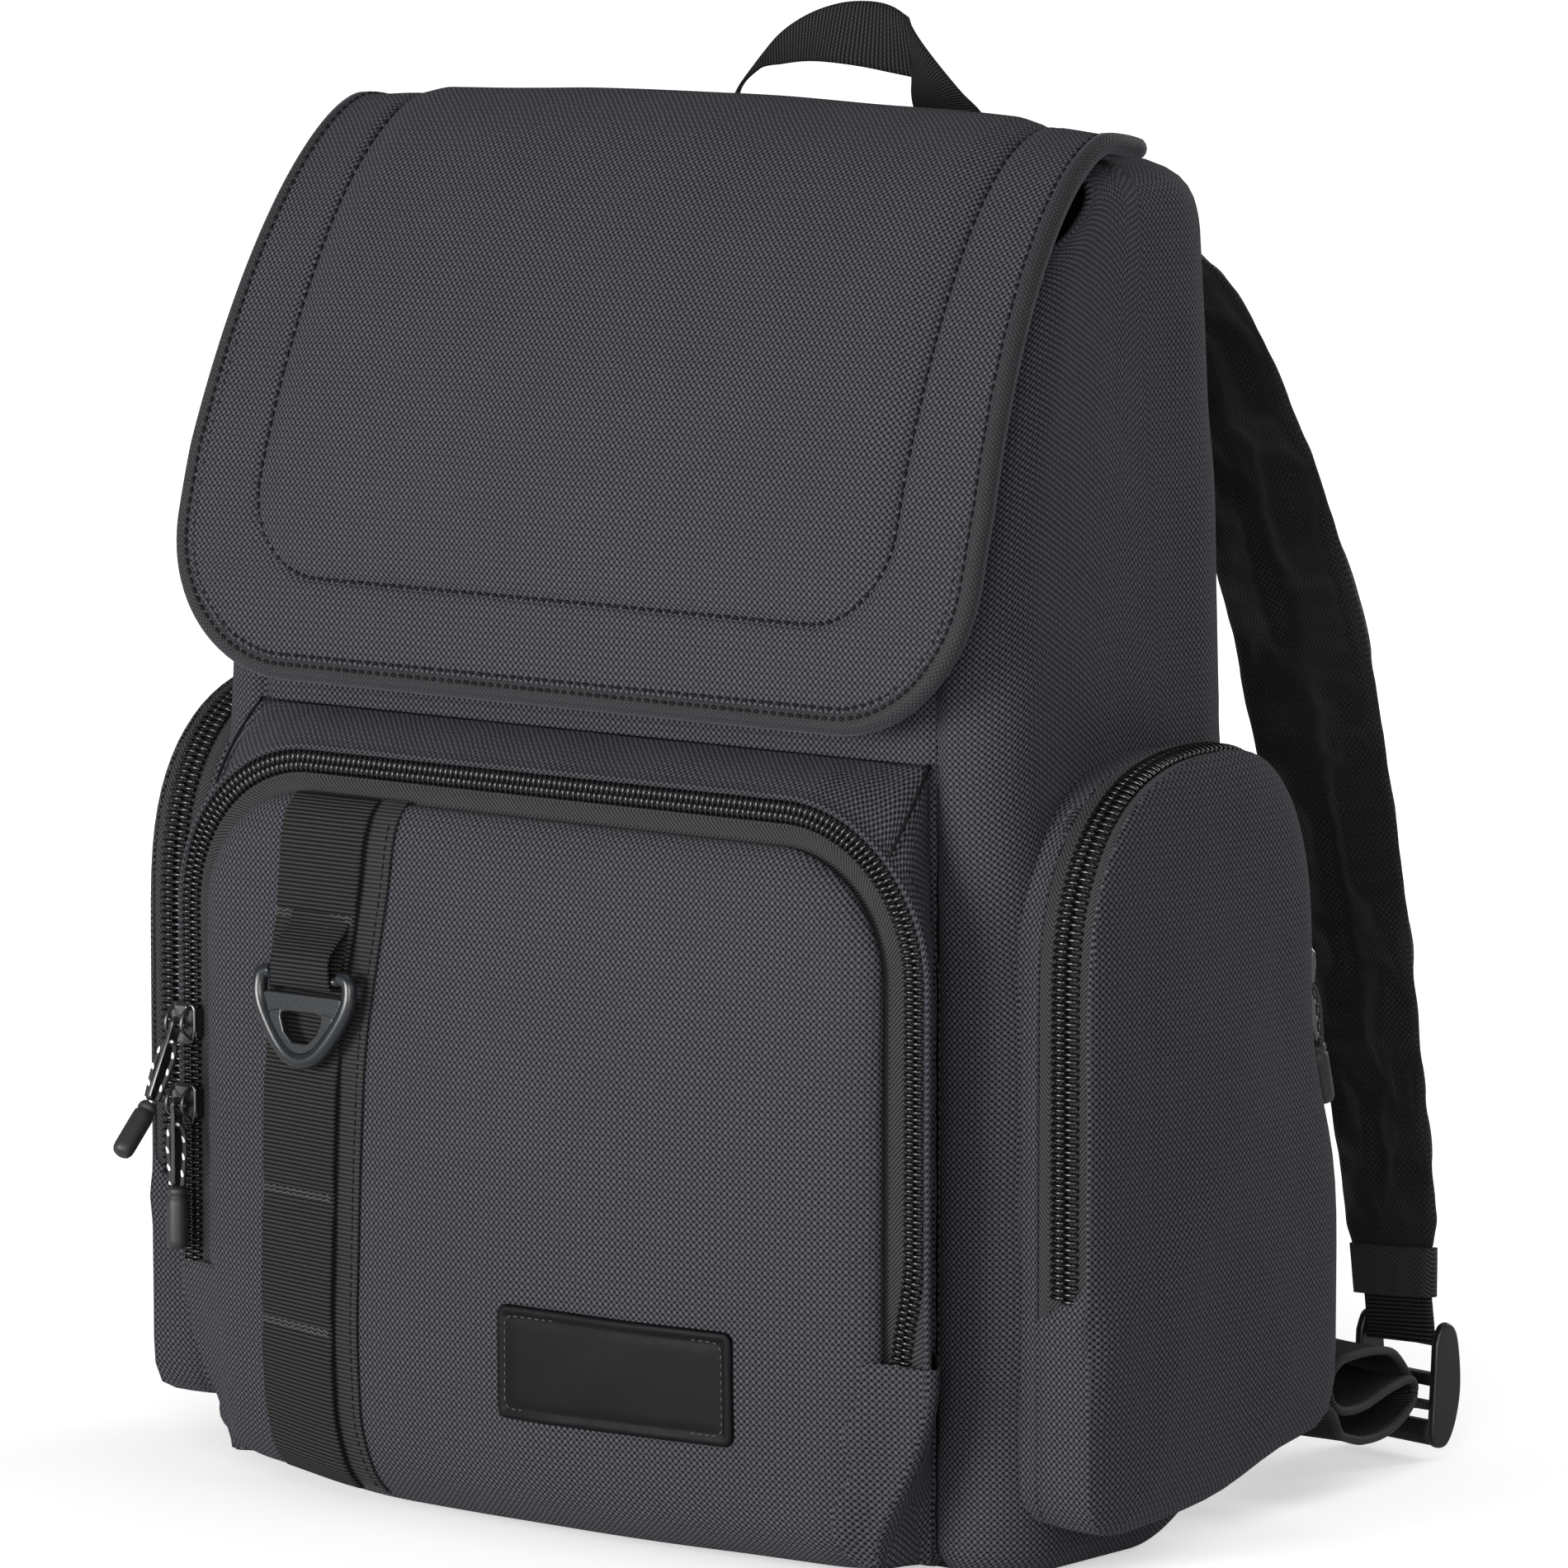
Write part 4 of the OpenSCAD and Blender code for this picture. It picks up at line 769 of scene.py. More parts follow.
sideColumns = ([("front", k / 16) for k in range(16)] + [("toHinge", k / 20) for k in range(20)]
               + [("fromHinge", k / 8) for k in range(8)] + [("rear", k / 12) for k in range(13)])


def sidePanelRows(turn, seed):
    tops = []
    for kind, t in sideColumns:
        y = sideColumn(kind, t, bag["mouth"])[1]
        collar = 9 * smooth((bag["hingeY"] - y) / 12) + 8 * bell(y + 4, 14)
        tops.append(mouthAt(y) + collar if kind in ("front", "toHinge") else bag["height"])
    rows = []
    for i in range(bag["rows"]):
        levels = [levelAt(i, bag["rows"], top) for top in tops]
        places = [sideColumn(kind, t, z) for (kind, t), z in zip(sideColumns, levels)]
        rows.append([(x * turn, y, z) for (x, y), z in zip(places, levels)])

    def shape(i, j, p):
        fromSeam = (Vector((abs(p.x), p.y)) - Vector((bag["seamX"], frontAt(p.z)))).length
        swell = bag["sideBulge"] * (math.sin(math.pi * clamp01((p.z - 250) / 175))
                                    * math.sin(math.pi * clamp01((p.y + 60) / 120)))
        folds = (1.5 * math.sin((p.y + 62) / 15 + 0.9 * math.sin(p.z / 60 + seed))
                 * smooth((p.z - 235) / 60) * smooth((425 - p.z) / 60))
        small = 1.3 * lump(p.x, p.y, p.z, 55, seed) + 0.5 * lump(p.x, p.y, p.z, 22, seed + 3)
        pucker = 0.25 * math.sin(p.z * 1.1 + 2 * math.sin(p.z / 9)) * bell(fromSeam, 7)
        edge = smooth(min(i, len(rows) - 1 - i) / 3)
        return ((swell * 0.6 + folds * 0.8 + small) * edge * smooth(fromSeam / 14)
                - bag["seamDip"] * bell(fromSeam, bag["seamWidth"]) + pucker)
    return raised(rows, shape)


def frontPanelRows():
    edge = [135, 134.2, 133, 131, 128]
    xs = [-x for x in edge] + [-124 + 248 * k / 62 for k in range(63)] + edge[::-1]
    levels = [levelAt(i, bag["rows"], bag["mouth"]) for i in range(bag["rows"])]
    return raised([[(x, frontAt(z), z) for x in xs] for z in levels],
                  lambda i, j, p: -bag["seamDip"] * bell(bag["seamX"] - abs(p.x), bag["seamWidth"])
                  + 0.8 * lump(p.x, p.y, p.z, 60, 5) * smooth(i / 6))


def backPanelRows():
    rows = []
    for i in range(bag["backRows"]):
        z = levelAt(i, bag["backRows"], bag["height"] - 0.4)
        half = halfW(z) - bag["backRadius"]
        rows.append([(half * (2 * k / 60 - 1), backAt(z), z) for k in range(61)])
    return raised(rows, lambda i, j, p: 0.9 * lump(p.x, p.y, p.z, 70, 11) * smooth(i / 6)
                  - 1.2 * bell(halfW(p.z) - bag["backRadius"] - abs(p.x), 2))


def yokeRows():
    w, b, rb = halfW(429.9), backAt(429.9), bag["backRadius"]
    rows = []
    for k in range(13):
        y = mix(12, b, 1 - (1 - k / 12) ** 1.6)
        half = w if y < b - rb else w - rb + math.sqrt(max(0, rb * rb - (y - (b - rb)) ** 2))
        rise = math.sin(math.pi * clamp01((y - 12) / (b - 12)))
        rows.append([(half * u, y, 430.0 + 1.6 * (1 - u ** 2) * rise) for u in [2 * c / 60 - 1 for c in range(61)]])
    return rows


for side, turn, seed in (("Right", 1, 0.0), ("Left", -1, 4.0)):
    gridPiece("sidePanel" + side, sidePanelRows(turn, seed), cloth, wall=bag["wall"],
              replaces=["side_panel_" + side.lower()], slot="body_weave")
gridPiece("frontPanel", frontPanelRows(), cloth, wall=bag["wall"], replaces=["front_panel"], slot="body_weave")
gridPiece("backPanel", backPanelRows(), cloth, wall=bag["wall"], replaces=["back_panel"], slot="back_fabric")
gridPiece("yoke", yokeRows(), cloth, wall=bag["yokeWall"], core=Vector((0, 30, 300)), replaces=["top_yoke"],
          slot="body_weave")
print("main bag made")


# The flap: s runs from 0 at the hem over 1 at the crest to 2 at the sewn edge

flap = {"half": 161, "topHalf": 153, "hem": 259, "drop": 179, "reach": 87, "crestY": 2, "setback": 17, "crestZ": 438,
        "corner": 50, "crown": 5, "thick": 4.6, "pad": 1.9, "lineZ": 292, "lineRadius": 30, "lineHalf": 129,
        "lineTopHalf": 125, "taperZ": 330, "inset": 3.2}
lineTop = flap["lineZ"] + flap["lineRadius"]


def flapProfile(s):
    if s <= 1:
        y = flap["crestY"] - flap["reach"] * max(0.0, 1 - max(0.0, s) ** 1.5) ** 0.6
        return y, flap["hem"] + flap["drop"] * s
    return flap["crestY"] + flap["setback"] * (s - 1), flap["crestZ"] - 2.7 * (s - 1) ** 2


def flapHalf(z):
    return mix(flap["half"], flap["topHalf"], clamp01((z - flap["taperZ"]) / (flap["crestZ"] - flap["taperZ"])))


def flapEdge(s, inset):
    z = flapProfile(s)[1]
    r = flap["corner"] - inset
    d = clamp01((z - flap["hem"] - inset) / r)
    return flapHalf(z) - inset - (r - math.sqrt(max(0.0, r * r - (r * (1 - d)) ** 2)) if s < 1 else 0)


def flapNormal(s):
    a, b = flapProfile(s - 0.004), flapProfile(s + 0.004)
    return Vector((0, -(b[1] - a[1]), b[0] - a[0])).normalized()


def lineHalf(s): return mix(flap["lineHalf"], flap["lineTopHalf"], clamp01((flapProfile(s)[1] - 300) / 130))


def lineGap(x, s):
    # distance from the sewn line inside the flap, below zero within it
    z, r = flapProfile(s)[1], flap["lineRadius"]
    half = lineHalf(s)
    dx, dz = abs(x) - (half - r), lineTop - z
    if dx > 0 and dz > 0:
        return math.hypot(dx, dz) - r
    return max(abs(x) - half, flap["lineZ"] - z)


def flapPoint(s, x, lift=0.0):
    y, z = flapProfile(s)
    bulge = flap["crown"] * (1 - (x / flapHalf(z)) ** 2) * smooth(s / 0.4) * smooth((2 - s) / 0.8)
    gap = lineGap(x, s)
    inPad = flap["pad"] * smooth(-gap / 14)
    groove = -1.5 * bell(gap, 1.7)
    waves = ((1.5 * lump(x, 0, s * 180, 95, 2.0) + 0.55 * lump(x, 0, s * 180, 38, 8.0))
             * smooth(s / 0.2) * smooth((1.5 - s) / 0.4))
    edge = smooth((flapEdge(s, 0) - abs(x)) / 25)
    return Vector((x, y, z)) + flapNormal(s) * (bulge + inPad + groove + waves * edge + lift)


def flapSteps(inset):
    # closer at the round corners and at the sewn line, then about 2.8 mm apart
    first = inset / flap["drop"]
    steps = [flap["corner"] * (1 - math.cos(math.radians(a))) / flap["drop"] + first for a in range(0, 88, 4)]
    nearLine = [(flap["lineZ"] + d - flap["hem"]) / flap["drop"] for d in (-2.6, -1.3, -0.5, 0.5, 1.3, 2.6)]
    steps = sorted(steps + nearLine)
    s = steps[-1]
    while s < 1:
        ahead = min(1, s + 0.01)
        a, b = flapProfile(s), flapProfile(ahead)
        s += 2.8 / (math.hypot(b[0] - a[0], b[1] - a[1]) / (ahead - s))
        steps.append(min(s, 1.0))
    return steps + [1 + k / 7 for k in range(1, 8)]


def flapRows(inset):
    spread = [0.35 * math.sin(math.pi / 2 * (k / 54 - 1)) + 0.65 * (k / 54 - 1) for k in range(109)]
    nearLine = [0.801 + 0.0045 * k for k in range(10)]
    columns = sorted(spread + nearLine + [-u for u in nearLine])
    rows = [[flapPoint(s, flapEdge(s, inset) * u) for u in columns] for s in flapSteps(inset)]
    return rows + [[p + Vector(tuck) for p in rows[-1]] for tuck in ((0, 1.6, -1.6), (0, 2.0, -4.4))]


flapPiece = gridPiece("flapPanel", flapRows(flap["inset"]), cloth, body="flap_body", wall=flap["thick"],
                      core=Vector((0, 20, 330)), replaces=["flap"], slot="body_weave")

# round the free edge: right side down, along the hem, left side up
edgeSide = [(s, flapEdge(s, 0)) for s in flapSteps(0) if flapEdge(s, 0) > 0]
hemS, hemX = edgeSide[0]
edgeRing = (edgeSide[::-1] + [(hemS, hemX * (1 - 2 * k / 60)) for k in range(1, 60)] + [(s, -x) for s, x in edgeSide])
edgeFrame = []
edgePoints = [flapPoint(s, x) for s, x in edgeRing]
for p, t, (s, x) in zip(edgePoints, tangents(edgePoints), edgeRing):
    inward = flapNormal(s).cross(t).normalized()
    edgeFrame.append((p, -inward if inward.dot(Vector((0, -40, 350)) - p) < 0 else inward, flapNormal(s)))

# the binding's section: inward from the edge, and outward from the flap
bindingProfile = [(7.4, -0.8), (7.1, 0.1), (6.2, 0.35), (5.2, 0.45), (4.2, 1.25), (2.4, 1.1), (0.8, -0.3), (0.1, -1.7),
                  (0.15, -3.2), (0.9, -4.4), (2.2, -5.2), (4.0, -5.4), (6.4, -5.3), (7.0, -4.8)]
bindingRows = [[p + s * a + f * (o + 0.25 * math.sin(i * 0.9) * (0.4 if a > 5 else 0.0)) for a, o in bindingProfile]
               for i, (p, s, f) in enumerate(edgeFrame)]
closedStrip("flapBinding", bindingRows, "binding", body="flap_body", replaces=["flap_binding"], slot="binding")

onFlap = {"body": "flap_body", "slot": "binding"}
for row, inset, lift in (("Outer", 5.6, 0.75), ("Inner", 8.6, 0.1)):
    line = [p + s * inset + f * lift for p, s, f in edgeFrame]
    repeated("flapStitch" + row, line, [f for p, s, f in edgeFrame], *sewing["flap"], **onFlap)

sewn = [(s, lineHalf(s)) for s in [1.8 - k * 0.04 for k in range(21)] + [1 - k * 0.02 for k in range(1, 33)]
        if flapProfile(s)[1] > lineTop]
cornerX = lineHalf(0.35) - flap["lineRadius"]
for c, s in [cosSin(a) for a in range(4, 90, 6)]:
    sewn.append(((lineTop - flap["lineRadius"] * s - flap["hem"]) / flap["drop"], cornerX + flap["lineRadius"] * c))
sewn += [((flap["lineZ"] - flap["hem"]) / flap["drop"], cornerX * (1 - k / 20)) for k in range(0, 20)]
sewn += [(s, -x) for s, x in reversed(sewn)]
repeated("flapSewnLine", [flapPoint(s, x, 0.55) for s, x in sewn], [flapNormal(s) for s, x in sewn], *sewing["flap"],
         **onFlap)
print("flap made")


# The front pocket

pocket = {"half": 96, "radius": 50, "top": 235, "cornerZ": 185, "zipX": 146, "zipY": -87, "rimY": -90.3, "rim": 7,
          "crown": 13, "panelRadius": 39.8, "edgeRadius": 55.6, "seamX": 134, "seamTop": 250, "seamY": -65.6,
          "foot": 70, "rollRadius": 14, "panelFoot": 3, "pitch": 2.1, "coilWidth": 6.6, "wall": 2.2,
          "mitreSeam": (134, 250), "mitreRim": (135.5, 224.5)}


def panelHalf(z):
    return (pocket["half"] + math.sqrt(max(0.0, pocket["panelRadius"] ** 2 - max(0.0, z - pocket["cornerZ"]) ** 2))
            - 9 * smooth((pocket["foot"] - z) / pocket["foot"]))


def edgeIn(x, z):
    # distance in from the face's edge
    if z < pocket["cornerZ"]:
        return max(0.0, panelHalf(z) - abs(x))
    return max(0.0, pocket["panelRadius"] - math.hypot(max(abs(x) - pocket["half"], 0), z - pocket["cornerZ"]))


def faceAt(x, z):
    # y of the plain face, without its soft shape
    e = min(1.0, edgeIn(x, z) / 16)
    return (pocket["rimY"] - pocket["rim"] * math.sqrt(max(0.0, 1 - (1 - e) ** 2))
            - pocket["crown"] * (1 - clamp01(abs(x) / max(panelHalf(z), 1)) ** 2) ** 1.5
            * smooth((pocket["cornerZ"] + pocket["panelRadius"] - z) / 90) * smooth((z + 25) / 60))


def panelSoft(x, z):
    # how far the stuffed face stands out of its plain shape
    e = edgeIn(x, z)
    soft = (1.3 * lump(x, 0, z, 80, 21) + 0.5 * lump(x, 0, z, 33, 25)) * smooth(e / 25)
    belly = 3.5 * bell(z - 62, 50) * (1 - clamp01(abs(x) / max(1, panelHalf(z))) ** 2) * smooth((z - 3) / 20)
    drag = 1.2 * bell(x - 20 - (z - 40) * 0.9, 18) * smooth((110 - z) / 70) * smooth((z - 5) / 30)
    pucker = 0.3 * math.sin(math.atan2(z - 120, x) * 46) * bell(e - 4, 4)
    return soft + belly + drag + pucker


def pocketSurface(x, z):
    roll = roundIn(1 - (z - pocket["panelFoot"]) / pocket["rollRadius"], pocket["rollRadius"])
    return faceAt(x, z) + roll - panelSoft(x, z)


def onPocket(x, z, lift): return Vector((x, pocketSurface(x, z) - lift, z))


def panelColumns(z):
    half = panelHalf(z)
    ins = [0, 0.3, 0.8, 1.6, 2.8, 4.5, 7, 10, 13.5, 17.5, 22, 27]
    lefts = [d - half for d in ins + [mix(ins[-1], half, k / 22) for k in range(1, 22)]]
    return lefts + [0] + [-x for x in reversed(lefts)]


def panelRows():
    foot, roll, corner = pocket["panelFoot"], pocket["rollRadius"], pocket["cornerZ"]
    rows = [[(x, y, foot) for x in panelColumns(foot)] for y in (-72, -77)]
    for c, s in [cosSin(a) for a in (90, 78, 66, 54, 42, 30, 20, 10)]:
        z = foot + roll * (1 - s)
        rows.append([(x, faceAt(x, z) + roll * (1 - c), z) for x in panelColumns(z)])
    zs = [foot + roll + k * 3.0 for k in range(56)]
    zs += [corner + pocket["panelRadius"] * cosSin(a)[1] for a in range(0, 91, 3)]
    rows += [[(x, faceAt(x, z), z) for x in panelColumns(z)] for z in zs]
    return [[Vector((x, y - panelSoft(x, z), z)) for x, y, z in row] for row in rows]


gridPiece("pocketPanel", panelRows(), cloth, wall=pocket["wall"], core=Vector((0, 0, 120)), replaces=["pocket_panel"],
          slot="body_weave")


def zipStations():
    # (x, z, outward x, outward z) from the right foot over the top to the left foot
    half, radius = pocket["half"], pocket["radius"]
    out = [(pocket["zipX"], z, 1, 0) for z in range(pocket["foot"] - 4, pocket["cornerZ"], 5)]
    out += [(half + radius * c, pocket["cornerZ"] + radius * s, c, s) for c, s in [cosSin(a) for a in range(0, 91, 4)]]
    out += [(half * (1 - k / 12), pocket["top"], 0, 1) for k in range(1, 13)]
    return out + [(-x, z, -nx, nz) for x, z, nx, nz in reversed(out[:-1])]


def gussetStations():
    # (seam x, seam z, edge x, edge z, outward x, outward z) in the same order
    half, corner, reach = pocket["half"], pocket["cornerZ"], pocket["edgeRadius"]
    seamX, top = pocket["seamX"], pocket["seamTop"]
    out = []
    for z in [4, 7, 11, 15] + list(range(20, corner, 5)):
        out.append((seamX, z, mix(panelHalf(z) + 3, pocket["zipX"] + 5.6, smooth((z - 2) / 66)), z, 1, 0))
    for a in range(0, 91, 3):
        c, s = cosSin(a)
        seam = (seamX, mix(corner, top, a / 45)) if a <= 45 else (mix(seamX, half, (a - 45) / 45), top)
        out.append((*seam, half + reach * c, corner + reach * s, c, s))
    out += [(half * (1 - k / 12), top, half * (1 - k / 12), corner + reach, 0, 1) for k in range(1, 13)]
    return out + [(-a, b, -c, d, -e, f) for a, b, c, d, e, f in reversed(out[:-1])]


def gussetRows():
    stations = gussetStations()
    (seamX, seamZ), (rimX, rimZ) = pocket["mitreSeam"], pocket["mitreRim"]
    rows = []
    for t in [k / 10 for k in range(11)]:
        arch = 1 - (2 * t - 1) ** 2
        row = []
        for i, (sx, sz, ex, ez, nx, nz) in enumerate(stations):
            x, z = mix(sx, ex, t), mix(sz, ez, t)
            fromMitre = math.hypot(abs(x) - mix(seamX, rimX, t), z - mix(seamZ, rimZ, t))
            mitre = -1.8 * bell(fromMitre, 2.2) if sz > 180 else 0
            puff = 1.6 * arch + (0.7 * lump(ex, t * 20, ez, 30, 31) + 0.3 * math.sin(i * 1.3)) * arch
            puff += mitre * smooth(arch * 3)
            row.append(Vector((x + nx * puff, mix(pocket["seamY"], pocket["zipY"], t) - 0.4 * arch, z + nz * puff)))
        rows.append(row)
    for inset, y in [(0.1, -87.7), (0.4, -88.3), (0.9, -88.6), (1.5, -88.5), (1.9, -88.1), (2.0, -87.0)]:
        rows.append([Vector((ex - nx * inset, y, ez - nz * inset)) for sx, sz, ex, ez, nx, nz in stations])
    return rows


gridPiece("pocketGusset", gussetRows(), cloth, wall=1.0, core=Vector((0, -74, 120)), replaces=["pocket_gusset"],
          slot="body_weave")


def footLean(x, z): return -5.0 * smooth((102 - z) / 36) if x > 120 else 0.0


# the tape's section: outward from the coil, and forward
tapeProfile = [(5.5, 0.0), (4.0, 0.5), (0.0, 0.6), (-3.8, 0.6), (-4.6, 0.9), (-6.0, 1.35), (-8.0, 1.5), (-11.0, 1.3),
               (-13.4, 0.7), (-13.6, -0.4), (5.5, -0.6)]
tapeRows = [[Vector((x + nx * a + footLean(x, z) * clamp01((5.5 - a) / 5.5), pocket["zipY"] - o, z + nz * a))
             for a, o in tapeProfile] for x, z, nx, nz in zipStations()]
closedStrip("pocketZipTape", tapeRows, "tape", replaces=["pocket_zip_tape"], slot="zip_tape")
zipLine = evenly([(x + footLean(x, z), pocket["zipY"] - 0.7, z) for x, z, nx, nz in zipStations()], 4)
size = pocket["coilWidth"] / metre
repeated("pocketZipCoil", zipLine, forward, coilTree, pocket["pitch"] / 2, (size * 0.95, size, size * 0.62), "coil",
         replaces=["pocket_zip_coil"], slot="zip_coil")


def footCoverRows(turn):
    # cloth that closes over the zipper's foot and runs down between the face and the gusset
    rows = []
    for k in range(25):
        z = mix(3.5, 69.5, k / 24)
        half = panelHalf(z)
        dip = roundIn((16 - z) / 16, 7)
        top, flare = smooth((z - 48) / 20), smooth((z - 2) / 66)
        line = [(half - 9, pocketSurface(half - 9, z) + 0.5), (half - 4, pocketSurface(half - 4, z) - 0.1),
                (mix(half + 0.5, 142, flare), mix(-90.6, -91.6, top) + dip),
                (mix(half + 3.4, 149.6, flare), -89.0 + dip), (mix(half + 4.4, 152.5, flare), -86.4),
                (mix(half + 4.5, 151.6, flare), -82.5), (mix(half + 4.1, 147.0, flare), -77), (136, -66.2)]
        soft = 0.6 * lump(k * 3.0, turn * 9, 0, 16, 71)
        rows.append([Vector((turn * (p.x + soft * 0.6), p.y - soft, z - 1.2 * clamp01((p.x - 137) / 14) * top))
                     for p in interpolated([(x, y, 0) for x, y in line], 5)])
    return rows + [[p + Vector(tuck) for p in rows[-1]] for tuck in ((0, 0.3, 0.5), (-turn * 0.4, 1.4, 0.2))]


footCovers = {}
for side, turn in sides:
    footCovers[turn] = gridPiece("zipFootCover" + side, footCoverRows(turn), "body", core=Vector((120 * turn, -60, 40)),
                                 slot="body_weave")
    out = Vector((turn, 0, 1)).normalized()
    seam = [Vector((turn * mix(134.4, 135.6, t), mix(-65.8, -87.4, t), mix(250.2, 224.7, t)))
            + out * (1.45 * (1 - (2 * t - 1) ** 2) + 0.15) for t in [k / 12 for k in range(13)]]
    placePiece("mitreSeam" + side, tubeMesh("mitreSeam" + side, seam, 0.55, 6), "thread", slot="binding")
gussetStitch = [(ex + nx * 1.2, -84.5, ez + nz * 1.2) for sx, sz, ex, ez, nx, nz in gussetStations()]
repeated("gussetStitch", gussetStitch, forward, *sewing["seam"], slot="binding")
print("front pocket made")


# The side pockets: a ring lies round the pocket in its (y, z) plane, inset from its outline

sidePocket = {"coilX": 180.5, "cornerZ": 180, "top": 250, "front": 57, "rear": 55, "middle": 10,
              "power": 2.4, "coilWidth": 9.4, "pitch": 2.3, "sewnX": 169, "openX": 188.6, "rimX": 189.7}
sideCore = Vector((150, 10, 130))


def sideRearAt(z): return sidePocket["rear"] + 14 * smooth((sidePocket["cornerZ"] - 15 - z) / 60)


def arcPoint(a, inset):
    power, middle = 2 / sidePocket["power"], sidePocket["middle"]
    c, s = cosSin(a)
    reachY = (sidePocket["rear"] - middle if c > 0 else sidePocket["front"] + middle) - inset
    reachZ = sidePocket["top"] - sidePocket["cornerZ"] - inset
    return (middle + reachY * math.copysign(abs(c) ** power, c),
            sidePocket["cornerZ"] + reachZ * math.copysign(abs(s) ** power, s))


def sideRing(inset):
    front = -sidePocket["front"] + inset
    ys = [mix(front, sideRearAt(20) - inset, k / 13) for k in range(14)]
    ring = [Vector((y, 16 + inset * 0.6 + 0.0011 * (min(y, 40) + 60) ** 2)) for y in ys]
    ring += [Vector((sideRearAt(z) - inset, z))
             for z in (44, 56, 68, 80, 90, 100, 110, 120, 127, 135, 142, 150, 158, 165, 172)]
    ring += [Vector(arcPoint(a, inset)) for a in range(0, 181, 5)]
    ring += [Vector((front, z))
             for z in (170, 160, 150, 140, 130, 120, 110, 100, 94, 90, 86, 82, 78, 72, 64, 54, 44, 34, 25)]
    for _ in range(2):
        ring = [(ring[i - 1] + ring[i] * 2 + ring[(i + 1) % len(ring)]) / 4 for i in range(len(ring))]
    return ring


def ringsAt(places): return [[Vector((x, *p)) for p in sideRing(inset)] for x, inset in places]


def facingOut(rows, turn): return [[Vector((p.x * turn, p.y, p.z)) for p in row] for row in rows]


def openAt(y, z):
    # 1 where the zipper runs, 0 where the cover is sewn down over it
    return clamp01((z - 82) / 11) if y < sidePocket["middle"] else clamp01((z - 161) / 11)


def coverRows(turn, seed):
    base = sideRing(0)
    rings = []
    for q, inset in [(0.0, 0.9), (0.06, -0.9), (0.3, -1.5), (0.65, -1.7), (1.0, -1.6)]:
        over = [1.7 * (1 - openAt(*b)) * bell(b.y - 85, 10) if b.x < sidePocket["middle"] else 0 for b in base]
        starts = [mix(sidePocket["sewnX"], sidePocket["openX"], openAt(*b)) for b in base]
        rings.append([Vector((mix(start, sidePocket["rimX"], q), p.x - o, p.y))
                      for p, start, o in zip(sideRing(inset), starts, over)])
    rings += ringsAt([(190.2, -1.2), (190.8, 0.0), (191.5, 1.8), (192.3, 4.2), (193.0, 7.5), (193.7, 12), (194.3, 18),
                      (194.8, 25)])
    last = rings[-1]
    centre = Vector((0, sum(p.y for p in last) / len(last), sum(p.z for p in last) / len(last)))
    for s in (0.9, 0.8, 0.7, 0.6, 0.5, 0.4, 0.3, 0.2, 0.1, 0.02):
        rings.append([Vector((195.0 + 2.0 * (1 - s * s), mix(centre.y, p.y, s), mix(centre.z, p.z, s))) for p in last])

    def shape(i, j, p):
        return smooth((i - 4) / 6) * (1.6 * lump(p.y, p.z, 0, 60, seed) + 0.6 * lump(p.y, p.z, 0, 26, seed + 2)
                                      + 2.0 * bell((p.z - 95) - (p.y + 20) * 0.5, 16) * smooth((20 - p.y) / 40))
    return facingOut(raised(rings, shape, core=sideCore, closed=True), turn)


def sideGussetRows(turn, seed):
    rows = ringsAt([(148, 0), (154, 0), (159, 0), (163, -0.1), (166, -0.4), (168.2, -1.0), (169.4, -1.4), (170.0, -1.3),
                    (170.3, -0.6), (170.3, 0.6)])
    return facingOut(raised(rows, lambda i, j, p: 0.5 * lump(p.x, p.y, p.z, 24, seed) * smooth((8 - i) / 3),
                            core=sideCore, closed=True), turn)


def sideLine():
    # along the zipper: up the front, over the top, down to its rear foot; with outward directions
    pts = [Vector((0, -sidePocket["front"], z)) for z in range(74, 180, 5)]
    pts += [Vector((0, *arcPoint(a, 0))) for a in range(180, -1, -4)]
    pts += [Vector((0, sidePocket["rear"], z)) for z in (175, 169, 163)]
    return [(p, Vector((0, -t.z, t.y)).normalized()) for p, t in zip(pts, tangents(pts))]


def layByFace(piece, turn):
    # the cloth's map is laid straight on the way each face looks
    mesh = piece.data
    layer = mesh.uv_layers["cloth"].data
    for poly in mesh.polygons:
        fore, rise = abs(poly.normal.y) > 0.72, abs(poly.normal.z) > 0.72
        for k in poly.loop_indices:
            co = mesh.vertices[mesh.loops[k].vertex_index].co
            layer[k].uv = (co.x * turn, co.z) if fore else (co.y, co.x * turn) if rise else (co.y, co.z)


